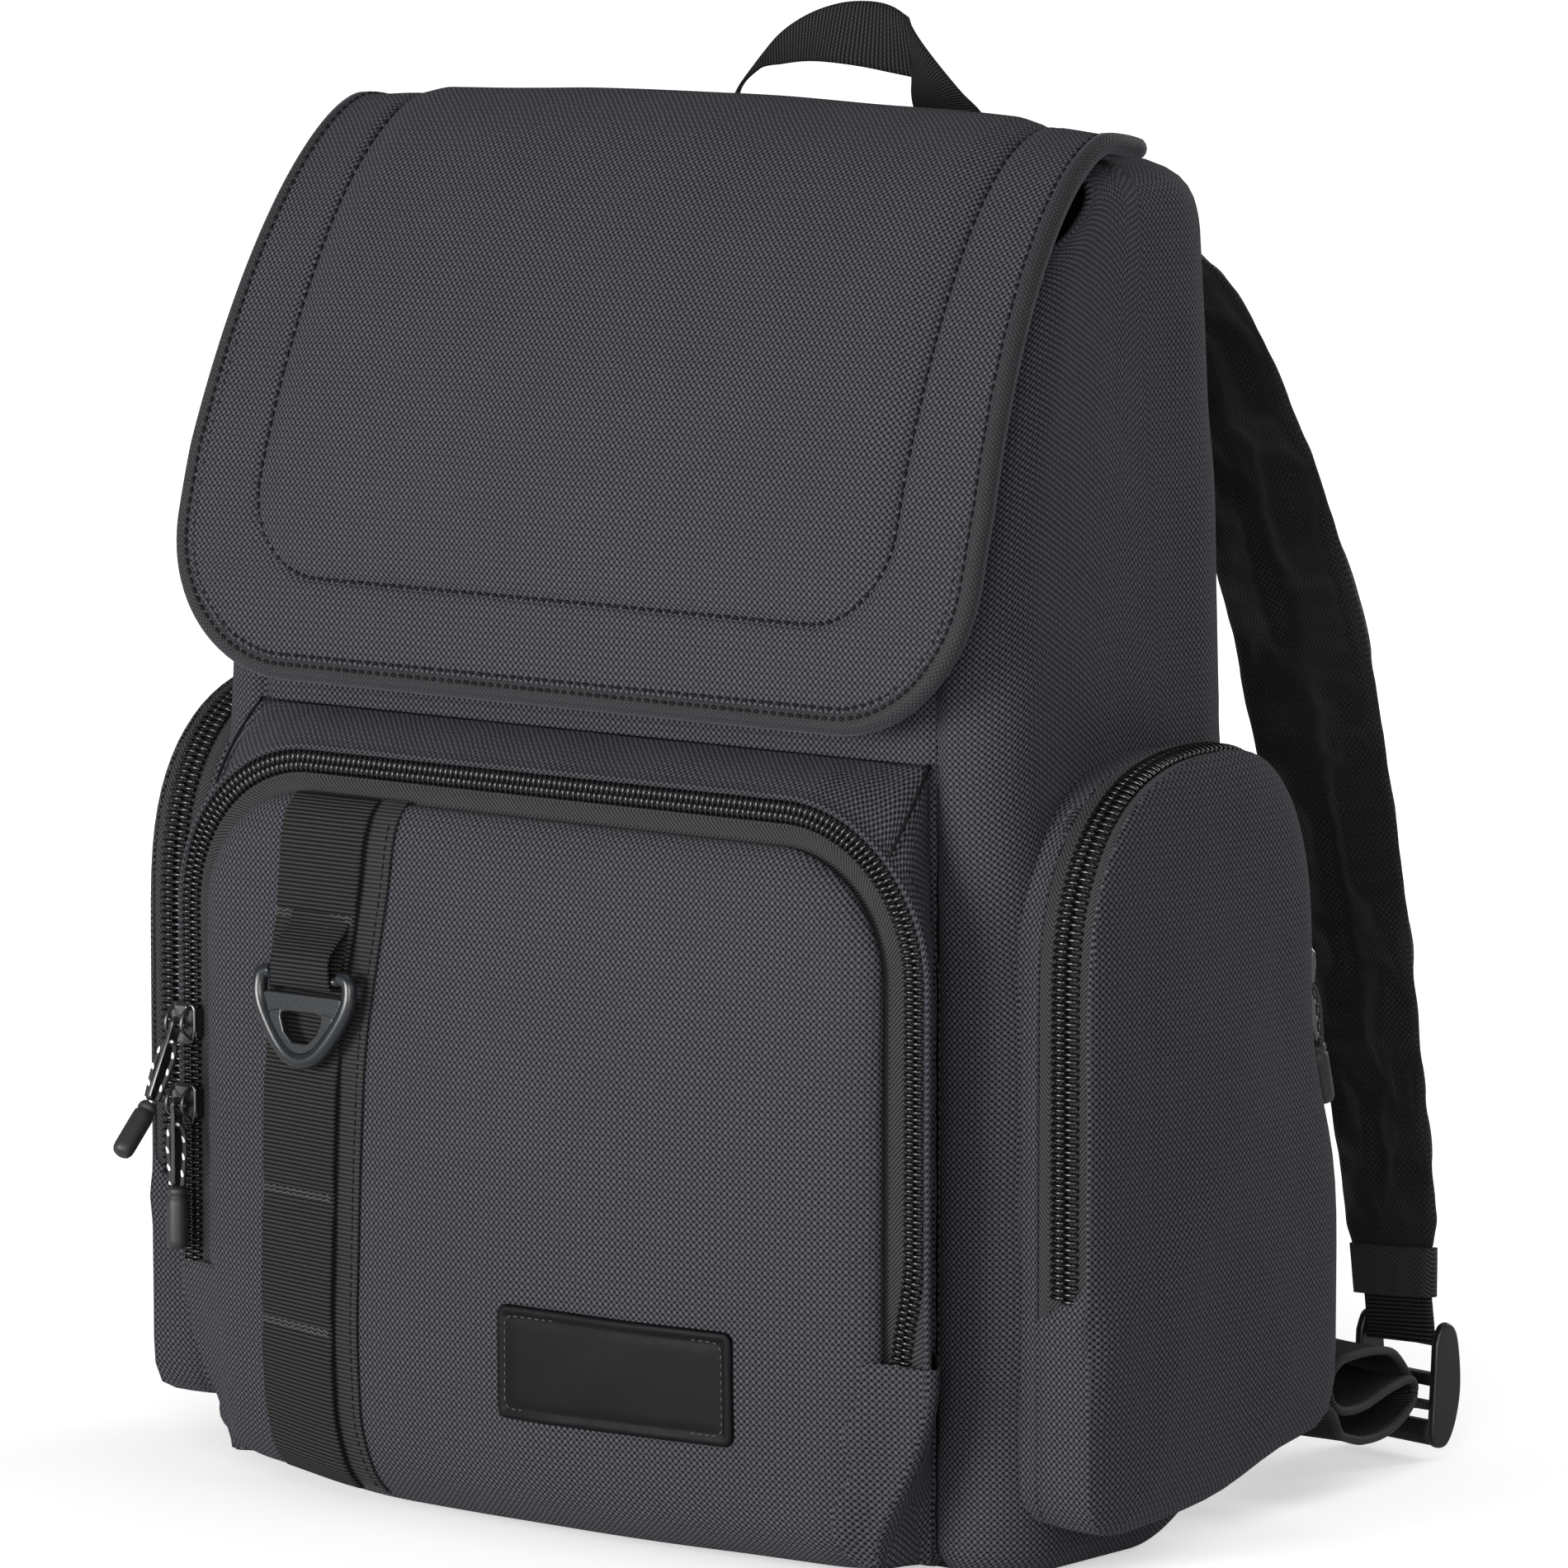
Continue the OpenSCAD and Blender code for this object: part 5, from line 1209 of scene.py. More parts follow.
# the side tape's section: across from the coil, and outward
sideTapeProfile = [(-11.2, 0.0), (-9.6, 0.6), (-7.4, 0.9), (-5.4, 0.7), (-4.6, 0.4), (4.6, 0.4), (5.4, 0.7), (7.0, 0.9),
                   (8.6, 0.5), (10.0, 0.0), (10.0, -0.8), (-11.2, -0.8)]
for side, turn in sides:
    low = side.lower()
    around = {"core": Vector((150 * turn, 10, 130)), "closed": True, "slot": "body_weave"}
    layByFace(footCovers[turn], turn)
    layByFace(gridPiece("sidePocketCover" + side, coverRows(turn, 41 + turn), "body", closeEnd=True,
                        replaces=["side_pocket_" + low], **around), turn)
    layByFace(gridPiece("sidePocketGusset" + side, sideGussetRows(turn, 51 + turn), "body", **around), turn)
    rows = [[Vector((turn * (sidePocket["coilX"] + a), p.y + f.y * o, p.z + f.z * o)) for a, o in sideTapeProfile]
            for p, f in sideLine()]
    closedStrip("sideZipTape" + side, rows, "tape", replaces=["side_zip_tapes"] if turn > 0 else (), slot="zip_tape")
    toothed = [(p, f) for p, f in sideLine() if p.z > (84 if p.y < sidePocket["middle"] else 168)]
    line = [Vector((turn * sidePocket["coilX"], p.y + f.y * 0.5, p.z + f.z * 0.5)) for p, f in toothed]
    size = sidePocket["coilWidth"] / metre
    repeated("sideZipCoil" + side, line, [f for p, f in toothed], coilTree, sidePocket["pitch"] / 2,
             (size * 0.72, size, size * 0.5), "coil", replaces=["side_zip_coils"] if turn > 0 else (), slot="zip_coil")
    print("side pocket made:", low)


# Webbing strip on the pocket's face

daisy = {"x": -84, "half": 17, "backing": 27, "foot": 7, "top": 226, "thick": 1.9, "lift": 1.6, "tacks": (188, 100, 57)}


def daisyX(z): return daisy["x"] + 5 * smooth((z - 120) / 110) + 3 * smooth((35 - z) / 30)


def faceBand(name, a0, a1, lift, thick, puffed, material, replaces):
    # band sewn flat on the face, from a0 to a1 beside its middle, puffed between its tacks
    profile = [(a + (a0 + a1) / 2, o) for a, o in bandProfile(a1 - a0, thick, 0, steps=16)]
    tacks = [daisy["top"] + 4, *daisy["tacks"], 143, daisy["foot"] - 2]
    rows = []
    for z in [mix(daisy["foot"], daisy["top"], k / 110) for k in range(111)]:
        puff = puffed * smooth(min(1.0, min(abs(z - t) for t in tacks) / 9))
        rows.append([onPocket(daisyX(z) + a, z, lift + puff + thick / 2 + o) for a, o in profile])
    return closedStrip(name, rows, material, replaces=replaces, slot="webbing")


faceBand("daisyBacking", -daisy["half"], daisy["backing"], 0.2, 1.2, 0, "selvedge", ["daisy_backing"])
faceBand("daisyWebbing", -daisy["half"], daisy["half"], daisy["lift"], daisy["thick"], 0.7, "webbing",
         ["daisy_webbing"])
for z in daisy["tacks"]:
    for k in (0, 1):
        line = []
        for c in range(21):
            p = onPocket(daisyX(z) - 16 + 32 * c / 20, z, daisy["lift"] + daisy["thick"] + 0.3)
            line.append(p + Vector((0, 0, 1.3 * k + 0.5 * (c % 2))))
        repeated("daisyTack%d%s" % (z, "ab"[k]), line, forward, *sewing["tack"], slot="webbing")
line = [onPocket(daisyX(z) + 24.5, z, 1.6) for z in range(10, 222, 4)]
repeated("backingStitch", line, forward, *sewing["seam"], slot="webbing")

# D-ring and the loop that holds it; its points are (x, z) from the middle of its bar
ring = {"x": -77.5, "y": -111.63, "z": 170, "loopWidth": 24, "loopThick": 1.2, "thick": 2.35, "swell": 0.45, "bar": 1.6,
        "lean": -5, "plateBevel": 0.5}
behind = pocketSurface(ring["x"], 188) - 4.0
ry, rz = ring["y"], ring["z"]
loop = interpolated([(ring["x"], y, z) for y, z in (
    (behind + 0.4, 190), (behind - 1.2, 186), (ry - 2.0, 178), (ry - 2.5, rz + 1), (ry - 1.7, rz - 1.9), (ry, rz - 2.5),
    (ry + 1.7, rz - 1.9), (ry + 2.4, rz + 2), (behind + 0.4, 184))], 6)
loopMesh = bandMesh("ringLoop", loop, [(1, 0, 0)] * len(loop), [ring["loopWidth"]] * len(loop), ring["loopThick"])
placePiece("ringLoop", loopMesh, "webbing", replaces=["ring_loop"], slot="webbing")

halfRing = [(-14.2, 1.6), (-17.8, 0.4), (-18.6, -4.5), (-17.2, -9.5), (-13.8, -15.2), (-9.6, -20.6), (-5.2, -24.4),
            (0, -25.8)]
rim = interpolated([(x, 0, z) for x, z in halfRing + [(-x, z) for x, z in reversed(halfRing[:-1])]], 6)
rimRadii = [ring["thick"] + ring["swell"] * math.sin(math.pi * k / (len(rim) - 1)) for k in range(len(rim))]
ringParts = [tubeMesh("rim", rim, rimRadii, 14, start=Vector((0, 1, 0))),
             tubeMesh("bar", [(-15.5, 0, 0.4), (-10, 0, 0), (0, 0, 0), (10, 0, 0), (15.5, 0, 0.4)], ring["bar"], 12)]
highPlate = [(-16.8, -4.8), (16.8, -4.8), (13.5, -12.2), (8.6, -11.2), (5.5, -10.6), (-5.5, -10.6), (-8.6, -11.2),
             (-13.5, -12.2)]
lowPlate = [(-14, -11), (-8.0, -9.8), (-8.4, -12.6), (-6.6, -17), (-3.2, -20.2), (3.2, -20.2), (6.6, -17), (8.4, -12.6),
            (8.0, -9.8), (14, -11), (8.6, -21.4), (0, -25), (-8.6, -21.4)]
for outline, half in ((highPlate, 1.1), (lowPlate, 1.3)):
    ringParts.append(polyPlate(roundedRing(outline, 1.6), -half, half, ring["plateBevel"]))
ringMeshes = joined(ringParts, "dRing")
ringMeshes.transform(move(ring["x"], ry, rz) @ turned(ring["lean"]))
placePiece("dRing", ringMeshes, "plastic", "ring_body", ["d_ring"], "plastic")

# Bare label patch with a raised border; it leans a little
label = {"x": 46, "z": 58, "half": 43, "halfH": 18, "radius": 3.5, "tilt": -0.012, "wall": 0.9, "stitchIn": 3.4}
lw, lh, lr = label["half"], label["halfH"], label["radius"]


def onLabel(x, z, lift): return onPocket(label["x"] + x, label["z"] + z + label["tilt"] * x, lift)


def bothWays(outer, inner, count):
    # shares from -1 to 1, close together near both ends
    return [-u for u in outer] + [-inner + 2 * inner * k / count for k in range(count + 1)] + outer[::-1]


labelRows = []
for v in bothWays([1, 0.985, 0.96, 0.92, 0.87, 0.82, 0.76], 0.7, 12):
    z = v * lh
    half = lw - (lr - math.sqrt(max(0.0, lr * lr - max(0.0, abs(z) - (lh - lr)) ** 2)))
    row = []
    for x in [u * half for u in bothWays([1, 0.993, 0.98, 0.96, 0.94, 0.92, 0.9], 0.86, 26)]:
        e = min(half - abs(x), lh - abs(z))
        rise = (0.3 + 1.3 * math.sqrt(max(0.0, 1 - (1 - min(1.0, e / 1.2)) ** 2))
                - 0.55 * smooth((e - 2.2) / 0.8) + 0.25 * smooth((e - 4.6) / 0.8))
        row.append(onLabel(x, z, rise))
    labelRows.append(row)
gridPiece("labelPatch", labelRows, "patch", core=Vector((0, 0, 58)), wall=label["wall"], replaces=["label_patch"],
          slot="patch")
sx, sz = lw - label["stitchIn"], lh - label["stitchIn"]
stitchRing = [onLabel(x, z, 1.35) for x, z in roundedRing([(-sx, -sz), (sx, -sz), (sx, sz), (-sx, sz)], 3)]
repeated("labelStitch", evenly(stitchRing + stitchRing[:1], 2), forward, *sewing["label"], slot="patch")
print("webbing, ring and label made")


# Zipper sliders and their pulls, made about the middle of the coil and the bar of the slider

pull = {"coilH": 2.2, "sliderT": 1.8, "sliderH": 13, "tabW": 4.5, "tabH": 26, "tabT": 1.6, "eye": 2.6, "gripR": 3.5,
        "gripH": 20, "cordR": 1.0}


def bailOut(clear): return pull["coilH"] + 0.6 + 0.3 + clear + pull["sliderT"] + 3.2


def sliderMesh(coil, clear):
    w = coil / 2 + clear + 1
    plate = pull["coilH"] + 0.9 + clear
    h = pull["sliderH"] / 2
    reach = bailOut(clear)
    outline = [(-w * 0.72, -h), (w * 0.72, -h), (w, -h * 0.35), (w, h * 0.75), (w * 0.8, h), (-w * 0.8, h),
               (-w, h * 0.75), (-w, -h * 0.35)]
    parts = [polyPlate(roundedRing(outline, 1.6), -(plate + pull["sliderT"]), -plate, 0.6)]
    cheek = [(-plate - 1.2, 2 - h), (-0.6 - clear, 2 - h), (-0.6 - clear, h - 2), (-plate - 1.2, h - 2)]
    for x in (-w + 0.5, w - 0.5):
        wall = polyPlate(roundedRing(cheek, 0.8), -0.5, 0.5, 0.2)
        wall.transform(move(x, 0, 0) @ turned(90, "Z"))
        parts.append(wall)
    for x in (-3.3, 3.3):
        arch = interpolated([(x, y, z) for y, z in (
            (-plate - 1.2, 5.2), (-plate - 3.2, 4.9), (-reach - 0.2, 3.4), (-reach - 1.2, 1.0), (-reach - 0.9, -1.4),
            (-reach + 1.2, -3.4), (-plate - 2.4, -4.6), (-plate - 1.2, -4.9))], 4)
        parts.append(bandMesh("arch", arch, [(1, 0, 0)] * len(arch), [1.3] * len(arch), 1.2, steps=4))
    parts.append(tubeMesh("bar", [(x, -reach, 0) for x in (-3.8, -2, 2, 3.8)], 0.9, 12))
    nose = roundedRing([(-2.4, 2.4), (2.4, 2.4), (3.0, h - 0.4), (-3.0, h - 0.4)], 0.9)
    parts.append(polyPlate(nose, -(plate + 3.0), -(plate + 1.2), 0.5))
    return joined(parts, "slider")


def tabMesh():
    half, foot = pull["tabW"] / 2, -pull["tabH"]
    outline = [(pull["eye"] * c, pull["eye"] * s) for c, s in [cosSin(a) for a in range(-28, 209, 12)]]
    outline += [(-half, -3), (-half, foot + 1.2), (-half + 1.0, foot), (half - 1.0, foot), (half, foot + 1.2),
                (half, -3)]
    turns = [cosSin(a) for a in range(0, 360, 20)]
    holes = [[(r * c, z + r * s) for c, s in turns] for z, r in ((0, 1.15), (-6.2, 1.25))]
    mesh = polyPlate(outline, -pull["tabT"] / 2, pull["tabT"] / 2, 0.35, holes)
    mesh.transform(turned(90, "Z"))
    return mesh


def cordMesh():
    points = [(2.3, 0, -26), (2.7, 0, -22.5), (3.2, 0, -18), (3.5, 0, -13.5), (3.3, 0, -10), (2.5, 0, -7.6),
              (1.2, 0, -6.3), (0, 0, -6.1)]
    points += [(-x, y, z) for x, y, z in reversed(points[:-1])]
    return tubeMesh("cord", interpolated(points, 5), pull["cordR"], 10, start=Vector((0, 1, 0)))


def gripMesh(tilt):
    r, h = pull["gripR"], pull["gripH"]
    profile = [(0.4, 0), (r - 1.3, 0), (r - 0.7, -0.25), (r - 0.35, -0.9), (r - 0.25, -2.2), (r - 0.75, -2.7),
               (r - 0.75, -3.2), (r - 0.1, -3.8), (r, -6), (r, -h + 3), (r - 0.15, -h + 1.6), (r - 0.7, -h + 0.5),
               (r - 1.5, -h), (0.4, -h)]
    mesh = ringMesh("grip", [[(a * c, a * s, b + h) for c, s in circle(32)] for a, b in profile])
    mesh.transform(move(0, 0, -pull["tabH"] - 0.4) @ turned(-tilt) @ move(0, 0, -h - (1.2 if tilt else 0)))
    return mesh


pullSetup = [
    # name, front or side, place of the slider, turn about Z, coil, clearance, swing, grip's tilt, mirrored
    ("upper", "", (-146, -87, 147), 0, 7, 0.6, 27, 18, False),
    ("lower", "", (-146, -87, 121), 0, 7, 0.6, 0, 0, False),
    ("right", "side", (180.5, 55.9, 178), 180, 11, 0.85, 15, 0, False),
    ("left", "side", (180.5, 55.9, 178), 180, 11, 0.85, 15, 0, True),
]
for label, where, place, turn, coil, clear, swing, tilt, mirrored in pullSetup:
    at = move(*place) @ turned(turn, "Z")
    hang = at @ move(0, -bailOut(clear), 0) @ turned(-swing)
    prefix, sliderNode = ("side_", "side_slider_") if where else ("", "pocket_slider_")
    for kind, mesh, matrix, material, body, node, slot in (
            ("slider", sliderMesh(coil, clear), at, "gunmetal", "slider", sliderNode, "metal"),
            ("pullTab", tabMesh(), hang, "gunmetal", "pull", prefix + "pull_tab_", "metal"),
            ("pullCord", cordMesh(), hang, "cord", "pull", prefix + "pull_cord_", "cord"),
            ("pullGrip", gripMesh(tilt), hang, "rubber", "pull", prefix + "pull_grip_", "grip")):
        name = (where + kind[0].upper() + kind[1:] if where else kind) + label.capitalize()
        placePiece(name, movedCopy(mesh, matrix, mirrored), material, "%s%s_%s_body" % (prefix, body, label),
                   [node + label], slot)
print("sliders and pulls made")


# The haul handle: folded webbing in a plane that leans forward

handle = {"y": 66.3, "z": 406, "lean": 16, "thick": 2.1, "steps": 10}  # steps: columns across the webbing
leanCos, leanSin = cosSin(handle["lean"])

# edges of the webbing, outside and inside: (x, height, forward)
archEdges = [((-54.5, 0, 0), (-31, 0, 0)), ((-55.5, 16, 0), (-38, 16, 3)), ((-55, 31.5, 0), (-47.4, 32, 7)),
             ((-47, 44.5, 1), (-42.5, 41, 6)), ((-38.8, 54, 2), (-34.6, 43.7, 4)), ((-28.5, 60.8, 2), (-25.8, 45.2, 3)),
             ((-17.5, 65, 1), (-16.7, 45.4, 2)), ((-7.3, 66.3, 0), (-4.5, 44.7, 1)), ((2, 65.3, 0), (7.2, 43.4, 0)),
             ((10, 61.8, 0), (18.6, 42, 0))]
legEdges = [((10.6, 61.8, 2.0), (16.4, 50, 2.6)), ((17, 55.4, 3), (18.2, 42, 3)), ((26, 47.6, 3), (19, 37, 3)),
            ((37, 38.6, 2), (19.8, 33, 2)), ((47.5, 30, 0), (20.9, 29, 0)), ((52, 16, 0), (26.5, 15, 0)),
            ((54.5, 0, 0), (30, 0, 0))]


def leaning(points):
    out, along = Vector((0, -leanCos, leanSin)), Vector((0, leanSin, leanCos))
    return [Vector((p.x, handle["y"], handle["z"])) + along * p.y + out * p.z for p in interpolated(points, 7)]


def foldedWebbing(edges):
    facing = Vector((0, -leanCos, leanSin)) * (handle["thick"] / 2)
    steps = handle["steps"]
    rows = []
    for a, b in zip(leaning([e[0] for e in edges]), leaning([e[1] for e in edges])):
        across = [(a.lerp(b, k / steps), 0.5 if k in (0, steps) else 1.0) for k in range(steps + 1)]
        rows.append([p + facing * r for p, r in across] + [p - facing * r for p, r in reversed(across)])
    return rows


closedStrip("haulHandle", foldedWebbing(archEdges), "webbing", body="handle_body", replaces=["haul_handle"],
            slot="webbing")
closedStrip("haulHandleLeg", foldedWebbing(legEdges), "webbing", body="handle_body", slot="webbing")
print("handle made")


# Cloth simulation for the padded pieces

inflation = {"quality": 6, "mass": 0.3, "tension_stiffness": 18, "compression_stiffness": 18, "bending_stiffness": 0.4,
             "use_pressure": True}


def inflated(mesh, held, pressure, cap, stretch, frames=18):
    # The closed mesh puffed out by air, its held points fixed and no point moving more than cap
    holder = newObject(mesh.name + "Sim", mesh)
    holder.vertex_groups.new(name="held").add(held, 1.0, "REPLACE")
    settings = holder.modifiers.new("inflate", "CLOTH").settings
    for key, value in inflation.items():
        setattr(settings, key, value)
    settings.uniform_pressure_force = pressure
    settings.shrink_min = -stretch
    settings.vertex_group_mass = "held"
    settings.effector_weights.gravity = 0
    for step in range(1, frames + 1):
        bpy.context.scene.frame_set(step)
    graph = bpy.context.evaluated_depsgraph_get()
    result = bpy.data.meshes.new_from_object(holder.evaluated_get(graph))
    bpy.context.scene.frame_set(1)
    for old, new in zip(mesh.vertices, result.vertices):
        shift = new.co - old.co
        if shift.length > cap / metre:
            new.co = old.co + shift * (cap / metre / shift.length)
    bpy.data.objects.remove(holder)
    result.name = mesh.name
    return result


def softened(piece):
    smoother = piece.modifiers.new("soft", "SUBSURF")
    smoother.levels = smoother.render_levels = 1
    return piece


def placePair(name, mesh, material, node, slot):
    # the right-hand piece and its mirror image, each on its own strap
    return [placePiece(name + side, movedCopy(mesh, mirrored=turn < 0), material, "strap_%s_body" % side.lower(),
                       [node + "_" + side.lower()] if node else (), slot) for side, turn in sides]


# The shoulder straps, from the bag's back down to the webbing tabs

carry = {"topWidth": 62, "endWidth": 40, "thick": 6.5, "edge": 2.2, "channel": 1.6, "cell": 3.5, "steps": 16}
swingTop, swingLow = Vector((60, 101, 390)), Vector((152, 91, 32))
swingX = Vector((0, 1, 0)).cross((swingTop - swingLow).normalized()).normalized()
strapSide = Vector((0.985, -0.174, 0)).normalized()
strapRoute = [(60, 84, 390.5), (60.5, 101, 390), (62, 117, 389), (64.5, 131, 384), (67.5, 144, 374), (71, 155, 359),
              (77, 164, 338), (84, 170.5, 314), (96, 177.5, 268), (106, 182, 216), (114, 184.5, 172),
              (121, 185.5, 130), (128, 184.5, 94), (132, 183.5, 66)]


def strapStations():
    # centre, across, outward and share of the length at each row
    line = evenly(interpolated(strapRoute, 10), carry["cell"])
    out = []
    for i, (p, t) in enumerate(zip(line, tangents(line))):
        share = i / (len(line) - 1)
        face = t.cross(mix(swingX, strapSide, clamp01(share * 3.2)).normalized()).normalized()
        out.append((p, face.cross(t).normalized(), face, share))
    return out


def strapWidth(share):
    body = mix(carry["topWidth"], carry["endWidth"] + 1, smooth((share - 0.45) / 0.55))
    top = carry["topWidth"] * (1 - clamp01((0.05 - share) / 0.05) ** 2 * 0.55)
    return min(body, top) - 5 * smooth((share - 0.975) / 0.025)


def strapSection(share):
    # two padded lobes with a sewn channel between them: (across, outward) pairs
    half = strapWidth(share) / 2
    ends = 1 - smooth((share - 0.93) / 0.07) * 0.35
    upper = []
    for u in [2 * k / carry["steps"] - 1 for k in range(carry["steps"] + 1)]:
        lobe = carry["edge"] + (carry["thick"] - carry["edge"]) * math.sqrt(max(0.0, 1 - u ** 4))
        groove = (carry["thick"] - carry["channel"]) * bell(u, 0.16) * smooth((0.97 - share) / 0.05)
        upper.append((u * half, (lobe / 2 - groove / 2) * ends))
    return upper + [(a, -o) for a, o in reversed(upper)]


def strapMesh():
    stations = strapStations()
    rows = [[p + s * a + f * o for a, o in strapSection(share)] for p, s, f, share in stations]
    m, n = len(rows), len(rows[0])
    uvs = [(a / metre, i * carry["cell"] / metre)
           for i, station in enumerate(stations) for a, o in strapSection(station[3])]
    # the ends close in quads between the two faces
    ends = [[row * n + k for k in (j, j + 1, n - 2 - j, n - 1 - j)] for row in (0, m - 1) for j in range(n // 2 - 1)]
    mesh = ringMesh("strapRight", rows, uvs, ends)
    # held: both edges, the channel and the two ends
    middle = (n // 2) // 2
    held = set(range(2 * n)) | set(range((m - 2) * n, m * n))
    for i in range(m):
        held |= {i * n + j for j in (0, n - 1, n // 2 - 1, n // 2)}
        if i < m - 6:
            held |= {i * n + middle, i * n + n - 1 - middle}
    return inflated(mesh, sorted(held), 4.5, 5, stretch=0.05)


def creased(mesh, seed):
    # soft folds where the padding bends, running slantwise across each lobe
    for vertex in mesh.vertices:
        p = vertex.co * metre
        fold = 0.9 * lump(p.z * 0.8 + p.x * 0.9, 0, 0, 17, seed) + 0.5 * lump(p.x, p.y, p.z, 11, seed + 3)
        vertex.co += Vector((0.16, -0.95, 0.2)) * (fold * 0.9 / metre * smooth((p.y - 100) / 40))
    return mesh


for strap in placePair("strap", creased(strapMesh(), 4.2), "strap", "strap", "strap_cloth"):
    softened(strap)
print("straps made")


# Sewn tab, webbing, ladder lock and the folded webbing below it

def bandPair(name, node, points, sideAt, widthAt, thick, material, bulge=0.0, step=2.0):
    line = evenly(interpolated(points, 10), step)
    shares = [i / (len(line) - 1) for i in range(len(line))]
    acrosses = [sideAt(t) for t in shares]
    mesh = bandMesh(name, line, acrosses, [widthAt(t) for t in shares], thick, bulge)
    placePair(name, mesh, material, node, "webbing")
    return line, acrosses


def straight(t): return strapSide


def webbingWidth(t): return 30


tabLine = [(132.2, 183.2, 67.5), (132.6, 183.1, 62), (132.9, 183.0, 57), (133.3, 182.9, 51.6)]
bandPair("strapTab", "strap_tab", tabLine, straight, lambda t: 38 - 2.2 * t, 5.2, "tape", bulge=1.0)
webLine = [(133.6, 183.7, 53.5), (134.2, 183.9, 47), (134.8, 183.9, 41), (135, 183.4, 36.5)]
bandPair("strapWebbing", "strap_webbing", webLine, straight, webbingWidth, 2.6, "webbing")
foldRoute = [(152, 91, 32), (151, 101, 27), (148, 112, 19), (146, 128, 15.5), (144, 144, 15.5), (142, 158, 19.5),
             (141, 164, 25), (141.5, 160, 29.5), (143, 148, 29), (146, 128, 26.5), (148, 114, 28), (149, 107, 33),
             (148, 109, 39), (146.5, 118, 43), (144, 136, 43), (140, 152, 39.5), (136, 166, 31), (133.5, 175, 20.2),
             (134.4, 181, 17.4), (135.4, 186.5, 17)]
foldLine, foldSides = bandPair("lowerWebbing", "lower_webbing", foldRoute,
                               lambda t: mix(swingX, strapSide, clamp01(t * 19 / 3)).normalized(), webbingWidth, 2.0,
                               "webbing", step=1.6)

# raised woven edges of the folded webbing
woven = {"reach": 14.4, "radius": 1.45}
selvedges = []
for sign in (-1, 1):
    faces = [(t.cross(s).normalized(), t) for t, s in zip(tangents(foldLine), foldSides)]
    edge = [p + f.cross(t).normalized() * (sign * woven["reach"]) for p, (f, t) in zip(foldLine, faces)]
    selvedges.append(tubeMesh("webbingEdges", edge, woven["radius"], 8))
placePair("webbingEdges", joined(selvedges, "webbingEdges"), "selvedge", None, "webbing")

lock = {"at": (135, 184, 24), "rail": 15.8, "half": 20, "cheek": 3.2}


def lockMesh():
    # moulded frame: two deep curved cheeks, a split top bar, a middle bar and a lifted lip
    h, rail = lock["half"], lock["rail"]
    cheek = interpolated([(-2.5, h - 6), (0, h - 0.6), (4, h), (7.5, h - 5), (9, 0), (7, -h + 8), (3, -h + 0.4),
                          (-2, -h), (-4, -h + 4), (-3.6, -6), (-3, 4)], 5)
    meshes = []
    for x in (-rail - lock["cheek"], rail):
        plate = polyPlate(cheek, 0.0, lock["cheek"], 1.2, segments=4)
        plate.transform(move(x, 0, 0) @ turned(90, "Z") @ Matrix.Scale(-1, 4, (0, 1, 0)))
        plate.flip_normals()
        meshes.append(plate)
    bars = [([(0.48, h - 7.6), (3.68, h - 7.9), (6.08, h - 6.2), (5.88, h - 3.6), (3.28, h - 3.1),
              (1.28, h - 4.4)], 0.7),
            ([(0.2, -1), (4.6, -1), (5, 1), (4.6, 3), (0.2, 3)], 0.9),
            ([(-1.2, -h), (1.6, -h), (2.4, -h + 3), (2.0, -h + 8), (-0.8, -h + 7.6), (-1.8, -h + 3)], 0.9)]
    for section, radius in bars:
        outline = roundedRing(section, radius, 4)
        xs = (-rail - 1, -rail * 0.5, 0, rail * 0.5, rail + 1)
        meshes.append(ringMesh("bar", [[(x, y, z) for y, z in outline] for x in xs]))
    return joined(meshes, "ladderLock")


lockTurn = Matrix.Rotation(math.atan2(-0.174, 0.985), 4, "Z")
placePair("ladderLock", movedCopy(lockMesh(), move(*lock["at"]) @ lockTurn), "lock", "ladder_lock", "plastic")

# bare steel swing-tag pin caught in the webbing
pinParts = [tubeMesh("pin", [(142.6, 111, 33.5), (144.5, 121.5, 33.6), (145.2, 127, 33.0)], 1.15, 10),
            tubeMesh("stem", [(144.0, 117, 33.5), (144.6, 118.2, 29.0), (145.6, 119, 26.2)], 0.45, 8)]
placePiece("tagPin", joined(pinParts, "tagPin"), "steel", "strap_right_body", (), "metal")
print("straps' lower ends made")


# Soft pieces out of sight from the front: rounded copies of the frame's own solids

def softCopy(name, node, material, slot, voxel, smoothing, puff=0.0):
    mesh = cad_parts[node].data.copy()
    mesh.materials.clear()
    bm = bmesh.new()
    bm.from_mesh(mesh)
    bmesh.ops.remove_doubles(bm, verts=bm.verts, dist=2e-5)
    bm.to_mesh(mesh)
    bm.free()
    holder = newObject(name + "Copy", mesh)
    voxels = holder.modifiers.new("voxels", "REMESH")
    voxels.mode = "VOXEL"
    voxels.voxel_size = voxel / metre
    rounder = holder.modifiers.new("round", "SMOOTH")
    rounder.factor = 0.5
    rounder.iterations = smoothing
    made = evaluatedMesh(holder)
    made.name = name
    if puff:
        low = min(v.co.y for v in made.vertices)
        made = inflated(made, [v.index for v in made.vertices if v.co.y < low + 0.002], puff, 6, stretch=0.04)
    made.polygons.foreach_set("use_smooth", [True] * len(made.polygons))
    return placePiece(name, made, material, "root", [node], slot)


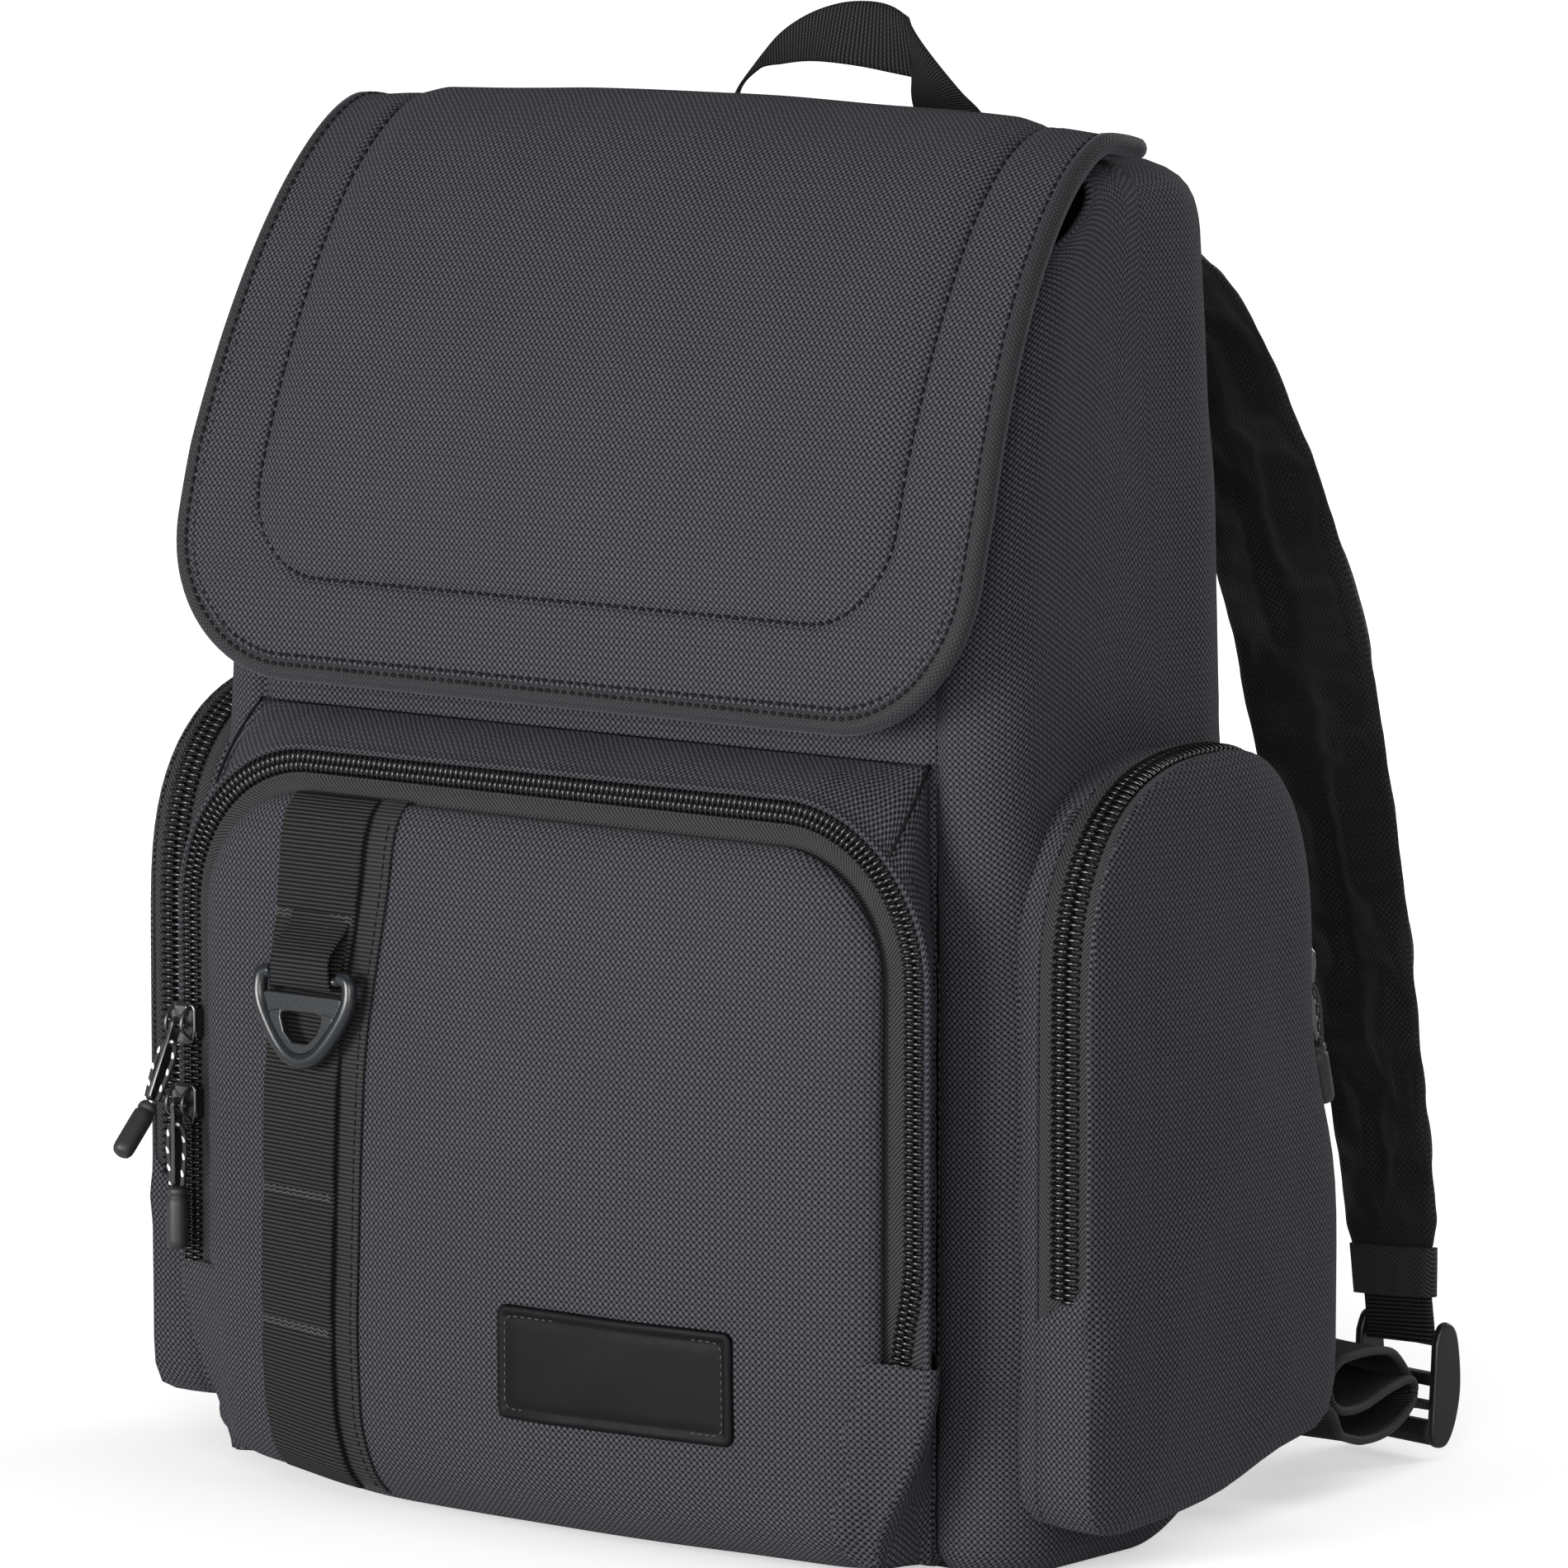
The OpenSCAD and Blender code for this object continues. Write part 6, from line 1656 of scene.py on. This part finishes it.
backPads = softened(softCopy("backPads", "back_mesh_pad", "mesh", "back_fabric", 5.0, 3, puff=3.5))
for row in (("strapRoots", "strap_roots", "strap", "webbing", 1.6, 6),
            ("anchorWings", "anchor_wings", "binding", "webbing", 0.9, 3),
            ("basePanel", "base_panel", "mesh", "body_weave", 1.1, 2),
            ("backFoam", "back_foam", "lining", "foam", 3.0, 3),
            ("baseBoard", "base_board", "board", "board", 1.1, 1),
            ("laptopSleeve", "laptop_sleeve", "lining", "back_fabric", 1.5, 2),
            ("mouthBinding", "mouth_binding", "tape", "binding", 0.8, 2)):
    softCopy(*row)

# rigid pieces whose own shape is right
for node in ("mouth_eyelets", "snap_sockets", "snap_studs"):
    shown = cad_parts[node].data.materials
    shown.clear()
    shown.append(materials["gunmetal"])
print("inner pieces made")

# Plain floor, white to the eye and still taking the shadow
floorMesh = bpy.data.meshes.new("floor")
floorMesh.from_pydata([(-60, -60, 0), (60, -60, 0), (60, 60, 0), (-60, 60, 0)], [], [(0, 1, 2, 3)])
floor = newObject("floor", floorMesh)
floorMaterial, tree, shader = newMaterial("paleFloor")
place = wire(tree, "ShaderNodeTexCoord", key="Object")
reach = wire(tree, "ShaderNodeVectorMath", {0: place}, "Value", operation="LENGTH")
spread = wire(tree, "ShaderNodeMapRange",
              {"Value": reach, "From Min": 0.25, "From Max": 1.6, "To Min": 0.5, "To Max": 1.0})
glow = wire(tree, "ShaderNodeLightPath", key="Is Camera Ray") * spread
feed(shader, {"Base Color": (0.9, 0.9, 0.9, 1), "Roughness": 0.8, "Specular IOR Level": 0.1,
              "Emission Color": (1, 1, 1, 1), "Emission Strength": glow})
floorMesh.materials.append(floorMaterial)

# The foot's lift, for what stands on the floor with the bag; what is anchored keeps its place
def liftShare(name):
    if name in ("anchorWings", "strapRoots"):
        return 0
    return 0.33 if name.startswith(("sidePocket", "sideZip")) else 1


for piece in rootPieces:
    share = liftShare(piece.name)
    for vertex in piece.data.vertices:
        vertex.co.z += share * footLift(*(vertex.co * metre)) / metre
    piece.data.update()

for shape in shapes.values():
    bpy.data.objects.remove(shape)
